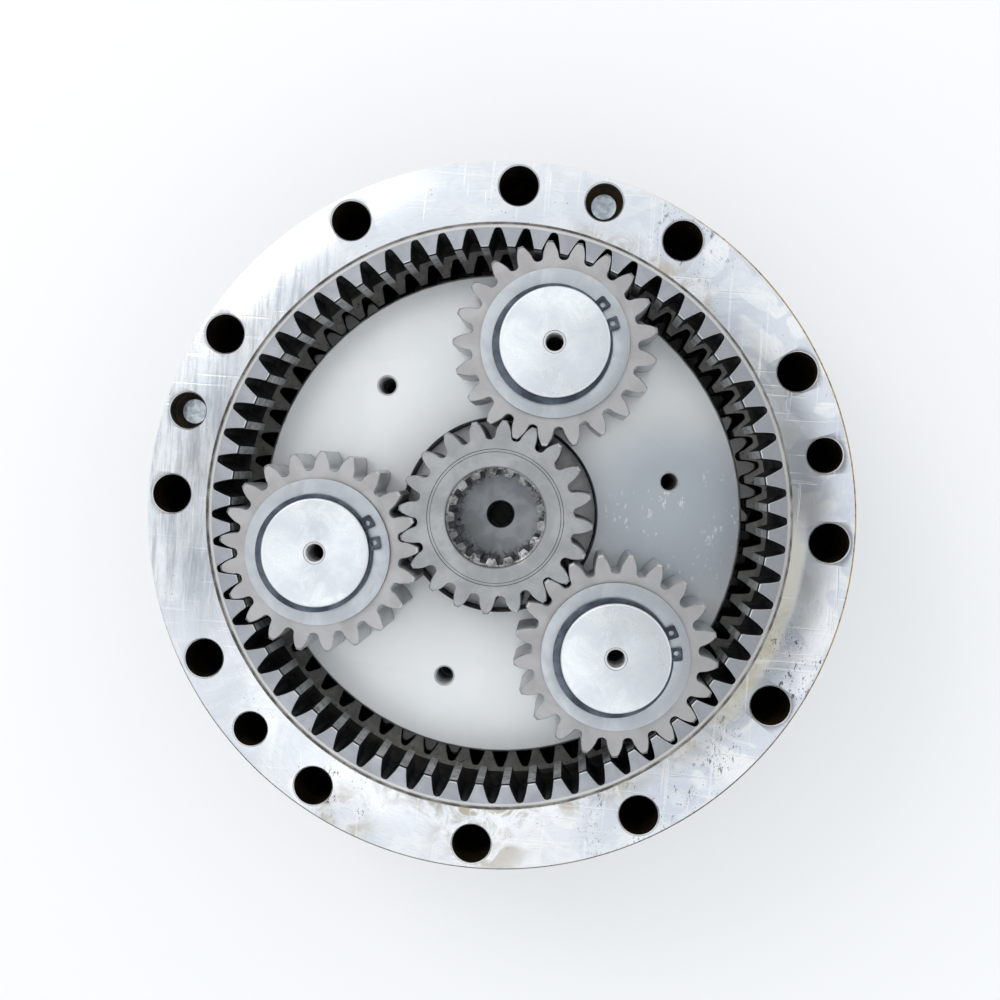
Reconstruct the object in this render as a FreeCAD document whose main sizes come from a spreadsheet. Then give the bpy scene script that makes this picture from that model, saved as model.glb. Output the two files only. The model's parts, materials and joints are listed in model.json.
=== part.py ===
import FreeCAD, Part
import math
import os
import re
import Sketcher

# Two-stage planetary gear set in one fixed ring gear.  Millimetres and degrees, +Z up along the gear axis.
# The origin is the centre of the ring's bottom face, and +X points at the first flange bolt hole.
# Both stages share the ring's teeth: 20-tooth sun, three 21-tooth planets, 64-tooth ring, module 4.

SIZES = {
    # tooth system, shared by both stages
    "module": 4,
    "pressure_angle": 20,
    "sun_teeth": 20,
    "planet_teeth": 21,
    "ring_teeth": 64,
    "sun_shift": 0.27,
    "planet_shift": 0.272,
    "ring_shift": -0.18,
    "tooth_thinning": 0.18,
    "planet_count": 3,
    "centre_distance": 84,
    "sun_tip_radius": 44.9,
    "sun_root_radius": 36.1,
    "planet_tip_radius": 46.9,
    "planet_root_radius": 38.1,
    "ring_tip_radius": 123.3,
    "ring_root_radius": 132.3,
    "ring_fillet_height": 1.1,
    "form_start_ratio": 1.004,
    "tooth_end_chamfer": 1,
    "ring_tooth_turn": 3.53,
    # ring gear and flange
    "ring_outer_radius": 162.5,
    "ring_height": 120,
    "edge_break": 0.8,
    "overcut": 1,
    "pilot_radius": 134.2,
    "pilot_depth": 2,
    "groove_radius": 134.5,
    "groove_top": 87,
    "groove_floor": 55,
    "lower_bore_radius": 134,
    "lower_bore_depth": 18,
    "flange_bolt_circle": 151,
    "flange_bolt_radius": 9,
    "flange_bolt_count": 12,
    "dowel_radius": 8,
    "dowel_turn": 15,
    "dowel_span": 210,
    "jack_radius": 8.5,
    "jack_depth": 10,
    "jack_floor_slope": 2.8,
    "jack_turn": 75,
    "jack_span": 90,
    "rim_chamfer": 0.5,
    # carriers
    "carrier_radius": 117,
    "carrier_edge": 1.2,
    "carrier_tap_chamfer": 0.9,
    "carrier_spline_clearance": 0.12,
    "stage_one_turn": 75.19,
    "carrier_one_floor": 64,
    "carrier_one_thickness": 20,
    "carrier_one_recess_radius": 47,
    "carrier_one_recess_depth": 10,
    "carrier_one_bore_radius": 38.1,
    "carrier_one_root_radius": 45.7,
    "carrier_one_tap_radius": 4.25,
    "stage_two_turn": 135.19,
    "carrier_two_floor": 2,
    "carrier_two_thickness": 18,
    "carrier_two_hub_radius": 58,
    "carrier_two_hub_recess": 1.5,
    "carrier_two_tap_radius": 5.1,
    # output spline in carrier 2
    "output_spline_teeth": 24,
    "output_minor_radius": 27,
    "output_major_radius": 30,
    "spline_mouth_share": 0.28,
    "spline_floor_share": 0.17,
    # pins, washers and retaining rings
    "pin_radius": 25,
    "pin_chamfer": 0.6,
    "pin_hole_radius": 4,
    "pin_countersink_radius": 5,
    "pin_one_length": 60.9,
    "pin_two_length": 56.8,
    "groove_bottom_radius": 23.5,
    "washer_radius": 34,
    "washer_thickness": 1.7,
    "washer_bore_clearance": 0.1,
    "washer_edge": 0.3,
    "gap_below_planet": 0.3,
    "gap_above_planet": 0.1,
    "gap_below_sun_two": 0.2,
    "snap_thickness": 2,
    "snap_outer_radius": 27.3,
    "snap_offset": 1.25,
    "snap_lug_radius": 30.4,
    "snap_lug_start_radius": 24.5,
    "snap_lug_inner_turn": 4.6,
    "snap_lug_outer_turn": 16.4,
    "snap_lug_hole_radius": 1.3,
    "snap_lug_hole_circle": 27.4,
    "snap_lug_hole_turn": 10,
    "snap_corner": 1,
    # planets and their needle bearings
    "planet_one_height": 32,
    "planet_two_height": 32,
    "planet_bore_radius": 30,
    "planet_bore_chamfer": 0.8,
    "needle_circle": 27.5,
    "needle_radius": 2.35,
    "needle_count": 20,
    "needle_length": 24,
    "cage_inner_radius": 26.1,
    "cage_outer_radius": 28.9,
    "cage_length": 30,
    "cage_window_clearance": 0.15,
    # suns
    "sun_one_height": 42,
    "sun_two_height": 51.6,
    "sun_bore_radius": 23.2,
    "sun_mouth_depth": 5,
    "sun_mouth_taper": 2,
    "sun_mouth_chamfer": 0.8,
    "sun_face_groove_inner": 30.2,
    "sun_face_groove_outer": 31.5,
    "sun_face_groove_depth": 0.3,
    "input_spline_teeth": 17,
    "input_minor_radius": 19.5,
    "input_major_radius": 22,
    "sun_two_bore_radius": 14,
    # thrust faces
    "thrust_plate_radius": 46.6,
    "thrust_plate_thickness": 2,
    "thrust_plate_hole_radius": 5.5,
    "thrust_plate_hole_chamfer": 1.2,
    "thrust_washer_inner_radius": 31,
    "thrust_washer_outer_radius": 44,
    "thrust_washer_thickness": 1.8,
}

# each planet position has a letter, and the free end of its retaining ring points its own way
PLANETS = ("a", "b", "c")
SNAP_TURNS = {1: (32.2, 23.5, 18.2), 2: (95.0, 210.0, 330.0)}

doc = FreeCAD.newDocument("planetary_gear_set")
sheet = doc.addObject("Spreadsheet::Sheet", "Sizes")
for row, (alias, number) in enumerate(SIZES.items(), start=1):
    sheet.set(f"A{row}", alias)
    sheet.set(f"B{row}", str(number))
    sheet.setAlias(f"B{row}", alias)
doc.recompute()

LEADS = {alias: "Sizes." for alias in SIZES}
nodes = []


def size(text):
    """The present value of an expression written with the sheet's aliases."""
    return float(sheet.evalExpression(text))


def named(text):
    """The same expression as other objects must write it, with each alias led by the sheet's name."""
    return re.sub(r"[a-z_]+", lambda found: LEADS.get(found.group(), "") + found.group(), text)


# ---------------------------------------------------------------- bodies and sketches

def new_body(label, base="0", angle=None, distance="centre_distance"):
    """An empty body at a height, on the gear axis or out on a circle at an angle in degrees."""
    body = doc.addObject("PartDesign::Body", label)
    body.Label = label
    place(body, base, angle, distance)
    nodes.append(body)
    return body


def place(thing, base, angle, distance="centre_distance"):
    thing.setExpression("Placement.Base.z", named(base))
    if angle is not None:
        thing.setExpression("Placement.Base.x", f"{named(distance)} * cos({angle} deg)")
        thing.setExpression("Placement.Base.y", f"{named(distance)} * sin({angle} deg)")


def turn(thing, degrees):
    """Turn a finished sub-part about its own axis, keeping its place."""
    thing.Placement = FreeCAD.Placement(
        thing.Placement.Base, FreeCAD.Rotation(FreeCAD.Vector(0, 0, 1), degrees))


def origin_plane(body, role):
    return next(item for item in body.Origin.OriginFeatures if item.Role == role)


def new_sketch(body, name, role, height="0", angle="0"):
    """A sketch on one of the body's own planes, lifted and turned about the plane's normal."""
    sketch = body.newObject("Sketcher::SketchObject", name)
    sketch.AttachmentSupport = (origin_plane(body, role), "")
    sketch.MapMode = "FlatFace"
    sketch.AttachmentOffset = FreeCAD.Placement(
        FreeCAD.Vector(0, 0, size(height)), FreeCAD.Rotation(FreeCAD.Vector(0, 0, 1), size(angle)))
    sketch.setExpression("AttachmentOffset.Base.z", named(height))
    return sketch


def fix_point(sketch, geometry, end, x_text, y_text):
    """Tie one point of a sketch to the sheet, or to an axis where its coordinate is nought."""
    for kind, axis, text in (("DistanceX", -2, x_text), ("DistanceY", -1, y_text)):
        if text == "0":
            sketch.addConstraint(Sketcher.Constraint("PointOnObject", geometry, end, axis))
        else:
            index = sketch.addConstraint(Sketcher.Constraint(kind, -1, 1, geometry, end, size(text)))
            sketch.setExpression(f"Constraints[{index}]", named(text))


def polygon(sketch, corners):
    """A closed outline of straight lines whose corners are expressions."""
    points = [FreeCAD.Vector(size(x_text), size(y_text), 0) for x_text, y_text in corners]
    for start, end in zip(points, points[1:] + points[:1]):
        sketch.addGeometry(Part.LineSegment(start, end), False)
    last = len(corners) - 1
    for index, (x_text, y_text) in enumerate(corners):
        follower = index + 1 if index < last else 0
        sketch.addConstraint(Sketcher.Constraint("Coincident", index, 2, follower, 1))
        fix_point(sketch, index, 1, x_text, y_text)


def circle(sketch, radius, x_text="0", y_text="0"):
    centre = FreeCAD.Vector(size(x_text), size(y_text), 0)
    index = sketch.addGeometry(Part.Circle(centre, FreeCAD.Vector(0, 0, 1), size(radius)), False)
    fix_point(sketch, index, 3, x_text, y_text)
    rule = sketch.addConstraint(Sketcher.Constraint("Radius", index, size(radius)))
    sketch.setExpression(f"Constraints[{rule}]", named(radius))


def chain(sketch, curves):
    """A closed outline of curves given in order, joined wherever two neighbours' ends meet."""
    for curve in curves:
        sketch.addGeometry(curve, False)
    for index in range(len(curves)):
        follower = (index + 1) % len(curves)
        for end, start in ((1, 1), (1, 2), (2, 1), (2, 2)):
            apart = sketch.getPoint(index, end) - sketch.getPoint(follower, start)
            if apart.Length < 1e-6:
                sketch.addConstraint(Sketcher.Constraint("Coincident", index, end, follower, start))


def polar(radius, angle):
    return FreeCAD.Vector(radius * math.cos(angle), radius * math.sin(angle), 0)


# ---------------------------------------------------------------- features

def turned(body, name, corners):
    """Turn an outline of (radius, height) corners about the body's Z axis."""
    sketch = new_sketch(body, f"{name}_profile", "XZ_Plane")
    polygon(sketch, corners)
    feature = body.newObject("PartDesign::Revolution", name)
    feature.Profile = sketch
    feature.ReferenceAxis = (sketch, ["V_Axis"])
    feature.Angle = 360
    body.Tip = feature
    return feature


def cut_down(body, name, sketch, depth):
    """Pocket a sketch downwards by a depth."""
    pocket = body.newObject("PartDesign::Pocket", name)
    pocket.Profile = sketch
    pocket.setExpression("Length", named(depth))
    body.Tip = pocket
    return pocket


def repeat(body, name, feature, sketch, count, span="360"):
    """Repeat a feature about the Z axis."""
    pattern = body.newObject("PartDesign::PolarPattern", name)
    pattern.Originals = [feature]
    pattern.Axis = (sketch, ["N_Axis"])
    pattern.setExpression("Angle", named(span))
    pattern.setExpression("Occurrences", named(count))
    body.Tip = pattern
    return pattern


def holes(body, name, radius, distance, top, depth, count, angle="0", span="360"):
    """Round holes from a height downwards, repeated about the Z axis."""
    sketch = new_sketch(body, f"{name}_circle", "XY_Plane", top, angle)
    circle(sketch, radius, distance)
    pocket = cut_down(body, name, sketch, depth)
    return repeat(body, f"{name}_pattern", pocket, sketch, count, span)


def chamfer_rims(body, name, radius, heights, depth):
    """Chamfer every round rim of one radius that lies at one of the given heights."""
    doc.recompute()
    base = body.Tip
    wanted = size(radius)
    levels = [size(text) for text in heights]
    rims = []
    for index, edge in enumerate(base.Shape.Edges, start=1):
        if not isinstance(edge.Curve, Part.Circle) or abs(edge.Curve.Radius - wanted) > 1e-4:
            continue
        if any(abs(edge.Curve.Center.z - level) < 1e-4 for level in levels):
            rims.append(f"Edge{index}")
    feature = body.newObject("PartDesign::Chamfer", name)
    feature.Base = (base, rims)
    feature.setExpression("Size", named(depth))
    body.Tip = feature
    return feature


# ---------------------------------------------------------------- gear teeth

def involute(angle):
    return math.tan(angle) - angle


def tooth_half_angle(teeth, shift, thinning, radius):
    """Half the angle that an involute tooth fills at a radius."""
    pressure = math.radians(size("pressure_angle"))
    pitch_radius = size("module") * teeth / 2
    thickness = size("module") * (math.pi / 2 + 2 * shift * math.tan(pressure)) - thinning
    base_radius = pitch_radius * math.cos(pressure)
    at_radius = math.acos(min(1.0, base_radius / radius))
    return thickness / (2 * pitch_radius) + involute(pressure) - involute(at_radius)


def gap_outline(half_angle, open_radius, tip_radius, form_radius, root_radius):
    """One tooth gap: open mouth, two arcs close to the involute, and a rounded root."""
    middle_radius = (tip_radius + form_radius) / 2
    tip, middle, form = (half_angle(radius) for radius in (tip_radius, middle_radius, form_radius))
    right = [polar(tip_radius, -tip), polar(middle_radius, -middle), polar(form_radius, -form)]
    left = [polar(form_radius, form), polar(middle_radius, middle), polar(tip_radius, tip)]
    mouth_left = polar(open_radius, tip)
    mouth_right = polar(open_radius, -tip)
    return [
        Part.Arc(*right),
        Part.Arc(right[2], polar(root_radius, 0), left[0]),
        Part.Arc(*left),
        Part.LineSegment(left[2], mouth_left),
        Part.LineSegment(mouth_left, mouth_right),
        Part.LineSegment(mouth_right, right[0]),
    ]


def cut_gaps(body, name, outline, top, depth, count, angle):
    """Cut one gap outline downwards and repeat it once for each tooth."""
    sketch = new_sketch(body, f"{name}_gap", "XY_Plane", top, angle)
    chain(sketch, outline)
    pocket = cut_down(body, name, sketch, depth)
    return repeat(body, f"{name}_pattern", pocket, sketch, count)


def outer_teeth(body, kind, height):
    """External teeth on a round blank, with one tooth centred on the body's +X axis."""
    teeth = size(f"{kind}_teeth")
    base_radius = size("module") * teeth / 2 * math.cos(math.radians(size("pressure_angle")))

    def half_gap(radius):
        filled = tooth_half_angle(teeth, size(f"{kind}_shift"), size("tooth_thinning"), radius)
        return math.pi / teeth - filled

    tip_radius = size(f"{kind}_tip_radius")
    outline = gap_outline(half_gap, size(f"{kind}_tip_radius + overcut"), tip_radius,
                          base_radius * size("form_start_ratio"), size(f"{kind}_root_radius"))
    return cut_gaps(body, "teeth", outline, height, height, f"{kind}_teeth", f"180 / {kind}_teeth")


def inner_teeth(body, kind, shift, widening, radii, top, depth, angle):
    """Internal teeth: gaps shaped like the mating teeth, a little wider."""
    teeth = size(f"{kind}_teeth")
    tip_radius, form_radius, root_radius = radii

    def half_gap(radius):
        return tooth_half_angle(teeth, shift, -widening, radius)

    open_radius = tip_radius - size("overcut")
    outline = gap_outline(half_gap, open_radius, tip_radius, form_radius, root_radius)
    return cut_gaps(body, "teeth", outline, top, depth, f"{kind}_teeth", angle)


def cut_spline(body, name, minor_radius, major_radius, teeth, top, depth):
    """A straight-sided internal spline in a bore of the minor radius."""
    minor, major, count = size(minor_radius), size(major_radius), size(teeth)
    mouth = size("spline_mouth_share") * 2 * math.pi / count
    floor = size("spline_floor_share") * 2 * math.pi / count
    open_radius = minor - size("overcut")
    corners = [polar(open_radius, -mouth), polar(minor, -mouth), polar(major, -floor),
               polar(major, floor), polar(minor, mouth), polar(open_radius, mouth)]
    sides = [Part.LineSegment(*pair) for pair in zip(corners, corners[1:] + corners[:1])]
    return cut_gaps(body, name, sides, top, depth, teeth, "0")


# ---------------------------------------------------------------- how the teeth line up

def planet_tooth_turn(planet_angle):
    """Angle of a planet tooth when the planet, at its place, meshes with the ring's gaps."""
    pitch = 360 / size("ring_teeth")
    gap = (size("ring_tooth_turn") - planet_angle + pitch / 2) % pitch - pitch / 2
    return planet_angle + gap * size("ring_teeth / planet_teeth")


def sun_tooth_turn(planet_angle):
    """Angle of a sun tooth when the sun meshes with the planet at that angle."""
    planet_pitch = 360 / size("planet_teeth")
    share = (planet_angle + 180 - planet_tooth_turn(planet_angle)) / planet_pitch
    return planet_angle + (share % 1 + 0.5) * 360 / size("sun_teeth")


def planet_angles(stage_turn):
    return [size(stage_turn) + 360 / size("planet_count") * index for index in range(len(PLANETS))]


# ---------------------------------------------------------------- ring gear

def make_ring_gear():
    """Flanged ring: pilot step, two tooth bands with a groove between them, and flange holes."""
    body = new_body("ring_gear")
    band_top = "ring_height - pilot_depth"
    chamfered = "ring_tip_radius + tooth_end_chamfer"
    turned(body, "blank", [
        ("lower_bore_radius + edge_break", "0"),
        ("ring_outer_radius - edge_break", "0"),
        ("ring_outer_radius", "edge_break"),
        ("ring_outer_radius", "ring_height - edge_break"),
        ("ring_outer_radius - edge_break", "ring_height"),
        ("pilot_radius", "ring_height"),
        ("pilot_radius", band_top),
        (chamfered, band_top),
        ("ring_tip_radius", f"{band_top} - tooth_end_chamfer"),
        ("ring_tip_radius", "groove_top + tooth_end_chamfer"),
        (chamfered, "groove_top"),
        ("groove_radius", "groove_top"),
        ("groove_radius", "groove_floor"),
        (chamfered, "groove_floor"),
        ("ring_tip_radius", "groove_floor - tooth_end_chamfer"),
        ("ring_tip_radius", "lower_bore_depth + tooth_end_chamfer"),
        (chamfered, "lower_bore_depth"),
        ("lower_bore_radius", "lower_bore_depth"),
        ("lower_bore_radius", "edge_break"),
    ])
    holes(body, "flange_bolts", "flange_bolt_radius", "flange_bolt_circle", "ring_height",
          "ring_height", "flange_bolt_count")
    holes(body, "dowel_holes", "dowel_radius", "flange_bolt_circle", "ring_height", "ring_height",
          "2", "dowel_turn", "dowel_span")
    holes(body, "jack_holes", "jack_radius", "flange_bolt_circle", "ring_height", "jack_depth",
          "2", "jack_turn", "jack_span")
    chamfer_rims(body, "jack_floors", "jack_radius", ["ring_height - jack_depth"], "jack_floor_slope")
    chamfer_rims(body, "jack_rims", "jack_radius", ["ring_height"], "rim_chamfer")
    chamfer_rims(body, "bolt_rims", "flange_bolt_radius", ["0", "ring_height"], "rim_chamfer")
    chamfer_rims(body, "dowel_rims", "dowel_radius", ["0", "ring_height"], "rim_chamfer")
    radii = (size("ring_tip_radius"), size("ring_root_radius - ring_fillet_height"),
             size("ring_root_radius"))
    inner_teeth(body, "ring", size("ring_shift"), size("tooth_thinning"), radii, "ring_height",
                "ring_height", "ring_tooth_turn")
    return body


# ---------------------------------------------------------------- carriers

def carrier_holes(body, floor, thickness, tap_radius):
    """Press-fit holes for the pins and one tapped hole between each pair of them."""
    holes(body, "pin_holes", "pin_radius", "centre_distance", thickness, thickness, "planet_count")
    holes(body, "tapped_holes", tap_radius, "centre_distance", thickness, thickness, "planet_count",
          "180 / planet_count")
    chamfer_rims(body, "tapped_rims", tap_radius, [floor, thickness], "carrier_tap_chamfer")


def make_carrier_1():
    """First carrier: recessed plate whose bore takes the second sun's teeth."""
    body = new_body("carrier_1", "carrier_one_floor")
    top = "carrier_one_thickness"
    recess = f"{top} - carrier_one_recess_depth"
    bore = "carrier_one_bore_radius"
    turned(body, "plate", [
        (f"{bore} + carrier_edge", "0"),
        ("carrier_radius - carrier_edge", "0"),
        ("carrier_radius", "carrier_edge"),
        ("carrier_radius", f"{top} - carrier_edge"),
        ("carrier_radius - carrier_edge", top),
        ("carrier_one_recess_radius + edge_break", top),
        ("carrier_one_recess_radius", f"{top} - edge_break"),
        ("carrier_one_recess_radius", recess),
        (bore, recess),
        (bore, "carrier_edge"),
    ])
    carrier_holes(body, "0", top, "carrier_one_tap_radius")
    clearance = size("carrier_spline_clearance")
    radii = (size(bore), size("sun_tip_radius") + clearance, size("carrier_one_root_radius"))
    spline_turn = sun_tooth_turn(size("stage_two_turn")) - size("stage_one_turn")
    inner_teeth(body, "sun", size("sun_shift"), clearance, radii, recess, recess, str(spline_turn))
    turn(body, size("stage_one_turn"))
    return body


def make_carrier_2():
    """Output carrier: plate with a raised hub and a splined bore for the output shaft."""
    body = new_body("carrier_2", "carrier_two_floor")
    top = "carrier_two_thickness"
    step = "carrier_two_hub_recess"
    turned(body, "plate", [
        ("output_minor_radius + carrier_edge", "0"),
        ("carrier_two_hub_radius", "0"),
        ("carrier_two_hub_radius", step),
        ("carrier_radius - carrier_edge", step),
        ("carrier_radius", f"{step} + carrier_edge"),
        ("carrier_radius", f"{top} - carrier_edge"),
        ("carrier_radius - carrier_edge", top),
        ("output_minor_radius + carrier_edge", top),
        ("output_minor_radius", f"{top} - carrier_edge"),
        ("output_minor_radius", "carrier_edge"),
    ])
    carrier_holes(body, step, top, "carrier_two_tap_radius")
    cut_spline(body, "spline", "output_minor_radius", "output_major_radius",
               "output_spline_teeth", top, top)
    turn(body, size("stage_two_turn"))
    return body


# ---------------------------------------------------------------- suns and thrust faces

def make_sun_1():
    """Floating first sun with a splined bore for the motor shaft and a fine groove on its face."""
    base = "carrier_one_floor + carrier_one_thickness - carrier_one_recess_depth"
    body = new_body("sun_gear_1", f"{base} + thrust_plate_thickness")
    top = "sun_one_height"
    groove = f"{top} - sun_face_groove_depth"
    turned(body, "blank", [
        ("sun_bore_radius", "0"),
        ("sun_tip_radius - tooth_end_chamfer", "0"),
        ("sun_tip_radius", "tooth_end_chamfer"),
        ("sun_tip_radius", f"{top} - tooth_end_chamfer"),
        ("sun_tip_radius - tooth_end_chamfer", top),
        ("sun_face_groove_outer", top),
        ("sun_face_groove_outer", groove),
        ("sun_face_groove_inner", groove),
        ("sun_face_groove_inner", top),
        ("sun_bore_radius + sun_mouth_chamfer", top),
        ("sun_bore_radius", f"{top} - sun_mouth_chamfer"),
        ("sun_bore_radius", f"{top} - sun_mouth_depth"),
        ("input_minor_radius", f"{top} - sun_mouth_depth - sun_mouth_taper"),
        ("input_minor_radius", "sun_mouth_depth"),
        ("sun_bore_radius", "sun_mouth_depth"),
    ])
    cut_spline(body, "spline", "input_minor_radius", "input_major_radius", "input_spline_teeth",
               top, top)
    outer_teeth(body, "sun", top)
    turn(body, sun_tooth_turn(size("stage_one_turn")))
    return body


def make_sun_2():
    """Second sun: one long pinion whose upper end sits in the first carrier's bore."""
    base = "carrier_two_floor + carrier_two_thickness + thrust_washer_thickness + gap_below_sun_two"
    body = new_body("sun_gear_2", base)
    top = "sun_two_height"
    turned(body, "blank", [
        ("sun_two_bore_radius + sun_mouth_chamfer", "0"),
        ("sun_tip_radius - tooth_end_chamfer", "0"),
        ("sun_tip_radius", "tooth_end_chamfer"),
        ("sun_tip_radius", f"{top} - tooth_end_chamfer"),
        ("sun_tip_radius - tooth_end_chamfer", top),
        ("sun_two_bore_radius + sun_mouth_chamfer", top),
        ("sun_two_bore_radius", f"{top} - sun_mouth_chamfer"),
        ("sun_two_bore_radius", "sun_mouth_chamfer"),
    ])
    outer_teeth(body, "sun", top)
    turn(body, sun_tooth_turn(size("stage_two_turn")))
    return body


def make_ring_plate(label, base, inner, outer, thickness, angle=None, flare="0"):
    """A flat washer or disc with lightly broken edges; its bore may flare at the top."""
    body = new_body(label, base, angle)
    turned(body, "disc", [
        (inner, "0"),
        (f"{outer} - washer_edge", "0"),
        (outer, "washer_edge"),
        (outer, f"{thickness} - washer_edge"),
        (f"{outer} - washer_edge", thickness),
    ] + ([(inner, thickness)] if flare == "0" else [
        (f"{inner} + {flare}", thickness),
        (inner, f"{thickness} - {flare}"),
    ]))
    return body


# ---------------------------------------------------------------- one planet with its bearing

def make_pin(label, base, angle, length, groove_low):
    """Planet pin with a retaining-ring groove near its top and a countersunk oil hole."""
    body = new_body(label, base, angle)
    groove_high = f"{groove_low} + snap_thickness"
    flare = "pin_countersink_radius - pin_hole_radius"
    turned(body, "pin", [
        ("pin_hole_radius", "0"),
        ("pin_radius - pin_chamfer", "0"),
        ("pin_radius", "pin_chamfer"),
        ("pin_radius", groove_low),
        ("groove_bottom_radius", groove_low),
        ("groove_bottom_radius", groove_high),
        ("pin_radius", groove_high),
        ("pin_radius", f"{length} - pin_chamfer"),
        ("pin_radius - pin_chamfer", length),
        ("pin_countersink_radius", length),
        ("pin_hole_radius", f"{length} - ( {flare} )"),
    ])
    return body


def make_planet(label, base, angle, height):
    """Planet gear with a plain bore that is the outer race of its needle bearing."""
    body = new_body(label, base, angle)
    turned(body, "blank", [
        ("planet_bore_radius + planet_bore_chamfer", "0"),
        ("planet_tip_radius - tooth_end_chamfer", "0"),
        ("planet_tip_radius", "tooth_end_chamfer"),
        ("planet_tip_radius", f"{height} - tooth_end_chamfer"),
        ("planet_tip_radius - tooth_end_chamfer", height),
        ("planet_bore_radius + planet_bore_chamfer", height),
        ("planet_bore_radius", f"{height} - planet_bore_chamfer"),
        ("planet_bore_radius", "planet_bore_chamfer"),
    ])
    outer_teeth(body, "planet", height)
    turn(body, planet_tooth_turn(angle))
    return body


def make_cage(label, base, angle):
    """Needle cage: a thin sleeve with one window for each roller."""
    body = new_body(label, base, angle)
    turned(body, "sleeve", [
        ("cage_inner_radius", "0"),
        ("cage_outer_radius", "0"),
        ("cage_outer_radius", "cage_length"),
        ("cage_inner_radius", "cage_length"),
    ])
    half_width = "needle_radius + cage_window_clearance"
    low = "( cage_length - needle_length ) / 2 - cage_window_clearance"
    high = "( cage_length + needle_length ) / 2 + cage_window_clearance"
    sketch = new_sketch(body, "window_outline", "YZ_Plane", "cage_outer_radius + overcut")
    polygon(sketch, [(f"0 - ( {half_width} )", low), (half_width, low), (half_width, high),
                     (f"0 - ( {half_width} )", high)])
    window = cut_down(body, "window", sketch, "cage_outer_radius - cage_inner_radius + 2 * overcut")
    axis = new_sketch(body, "window_axis", "XY_Plane")
    repeat(body, "windows", window, axis, "needle_count")
    turn(body, angle)
    return body


def make_rollers(label, base, angle):
    """The needle rollers of one planet, as separate solids in one group."""
    group = doc.addObject("Part::Feature", label)
    group.Label = label
    step = 2 * math.pi / size("needle_count")
    group.Shape = Part.makeCompound([
        Part.makeCylinder(size("needle_radius"), size("needle_length"),
                          polar(size("needle_circle"), step * index))
        for index in range(int(size("needle_count")))])
    place(group, base, angle)
    turn(group, angle)
    nodes.append(group)
    return group


def make_snap_ring(label, base, angle, gap_angle):
    """Retaining ring: widest opposite its gap, with two drilled lugs beside the gap."""
    body = new_body(label, base, angle)
    ring = new_sketch(body, "ring_outline", "XY_Plane")
    circle(ring, "groove_bottom_radius")
    circle(ring, "snap_outer_radius", "0 - snap_offset")
    pad = body.newObject("PartDesign::Pad", "ring")
    pad.Profile = ring
    pad.setExpression("Length", "Sizes.snap_thickness")
    body.Tip = pad
    inner, outer = size("snap_lug_start_radius"), size("snap_lug_radius")
    near, far = (math.radians(size(f"snap_lug_{end}_turn")) for end in ("inner", "outer"))
    for side in (1, -1):
        corners = [polar(inner, side * near), polar(outer, side * near),
                   polar(outer, side * far), polar(inner, side * far)]
        lug = new_sketch(body, f"lug_outline_{side}", "XY_Plane")
        chain(lug, [Part.LineSegment(*pair) for pair in zip(corners, corners[1:] + corners[:1])])
        lug_pad = body.newObject("PartDesign::Pad", f"lug_{side}")
        lug_pad.Profile = lug
        lug_pad.setExpression("Length", "Sizes.snap_thickness")
        body.Tip = lug_pad
    gap = new_sketch(body, "gap_outline", "XY_Plane", "snap_thickness")
    start, reach = size("groove_bottom_radius - overcut"), size("snap_lug_radius + overcut")
    wedge = [polar(start, -near), polar(reach, -near), polar(reach, near), polar(start, near)]
    chain(gap, [Part.LineSegment(*pair) for pair in zip(wedge, wedge[1:] + wedge[:1])])
    cut_down(body, "gap", gap, "snap_thickness")
    hole_sketch = new_sketch(body, "lug_hole_circles", "XY_Plane", "snap_thickness")
    for sign in ("", "0 - "):
        circle(hole_sketch, "snap_lug_hole_radius",
               "snap_lug_hole_circle * cos(snap_lug_hole_turn * 1 deg)",
               f"{sign}snap_lug_hole_circle * sin(snap_lug_hole_turn * 1 deg)")
    cut_down(body, "lug_holes", hole_sketch, "snap_thickness")
    round_lug_corners(body)
    turn(body, gap_angle)
    return body


def round_lug_corners(body):
    """Round the two outer corners of each lug."""
    doc.recompute()
    base = body.Tip
    outer = size("snap_lug_radius")
    corners = []
    for index, edge in enumerate(base.Shape.Edges, start=1):
        upright = isinstance(edge.Curve, Part.Line) and abs(edge.Curve.Direction.z) > 0.99
        middle = edge.CenterOfMass
        if upright and abs(math.hypot(middle.x, middle.y) - outer) < 1e-4:
            corners.append(f"Edge{index}")
    fillet = body.newObject("PartDesign::Fillet", "lug_corners")
    fillet.Base = (base, corners)
    fillet.setExpression("Radius", "Sizes.snap_corner")
    body.Tip = fillet


def make_planet_set(stage, letter, angle, carrier_base, plate_top, pin_length, height, gap_angle):
    """Everything on one pin, from the carrier plate up to the retaining ring."""
    planet_base = f"{plate_top} + washer_thickness + gap_below_planet"
    upper_washer = f"{planet_base} + {height} + gap_above_planet"
    snap_base = f"{upper_washer} + washer_thickness"
    groove_low = f"{snap_base} - ( {carrier_base} )"
    middle = f"{planet_base} + {height} / 2"
    bore = "pin_radius + washer_bore_clearance"
    tag = f"{stage}_{letter}"
    make_pin(f"planet_pin_{tag}", carrier_base, angle, pin_length, groove_low)
    make_ring_plate(f"lower_washer_{tag}", plate_top, bore, "washer_radius", "washer_thickness", angle)
    make_planet(f"planet_gear_{tag}", planet_base, angle, height)
    make_cage(f"needle_cage_{tag}", f"{middle} - cage_length / 2", angle)
    make_rollers(f"needle_rollers_{tag}", f"{middle} - needle_length / 2", angle)
    make_ring_plate(f"upper_washer_{tag}", upper_washer, bore, "washer_radius", "washer_thickness",
                    angle)
    make_snap_ring(f"snap_ring_{tag}", snap_base, angle, gap_angle)


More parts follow.
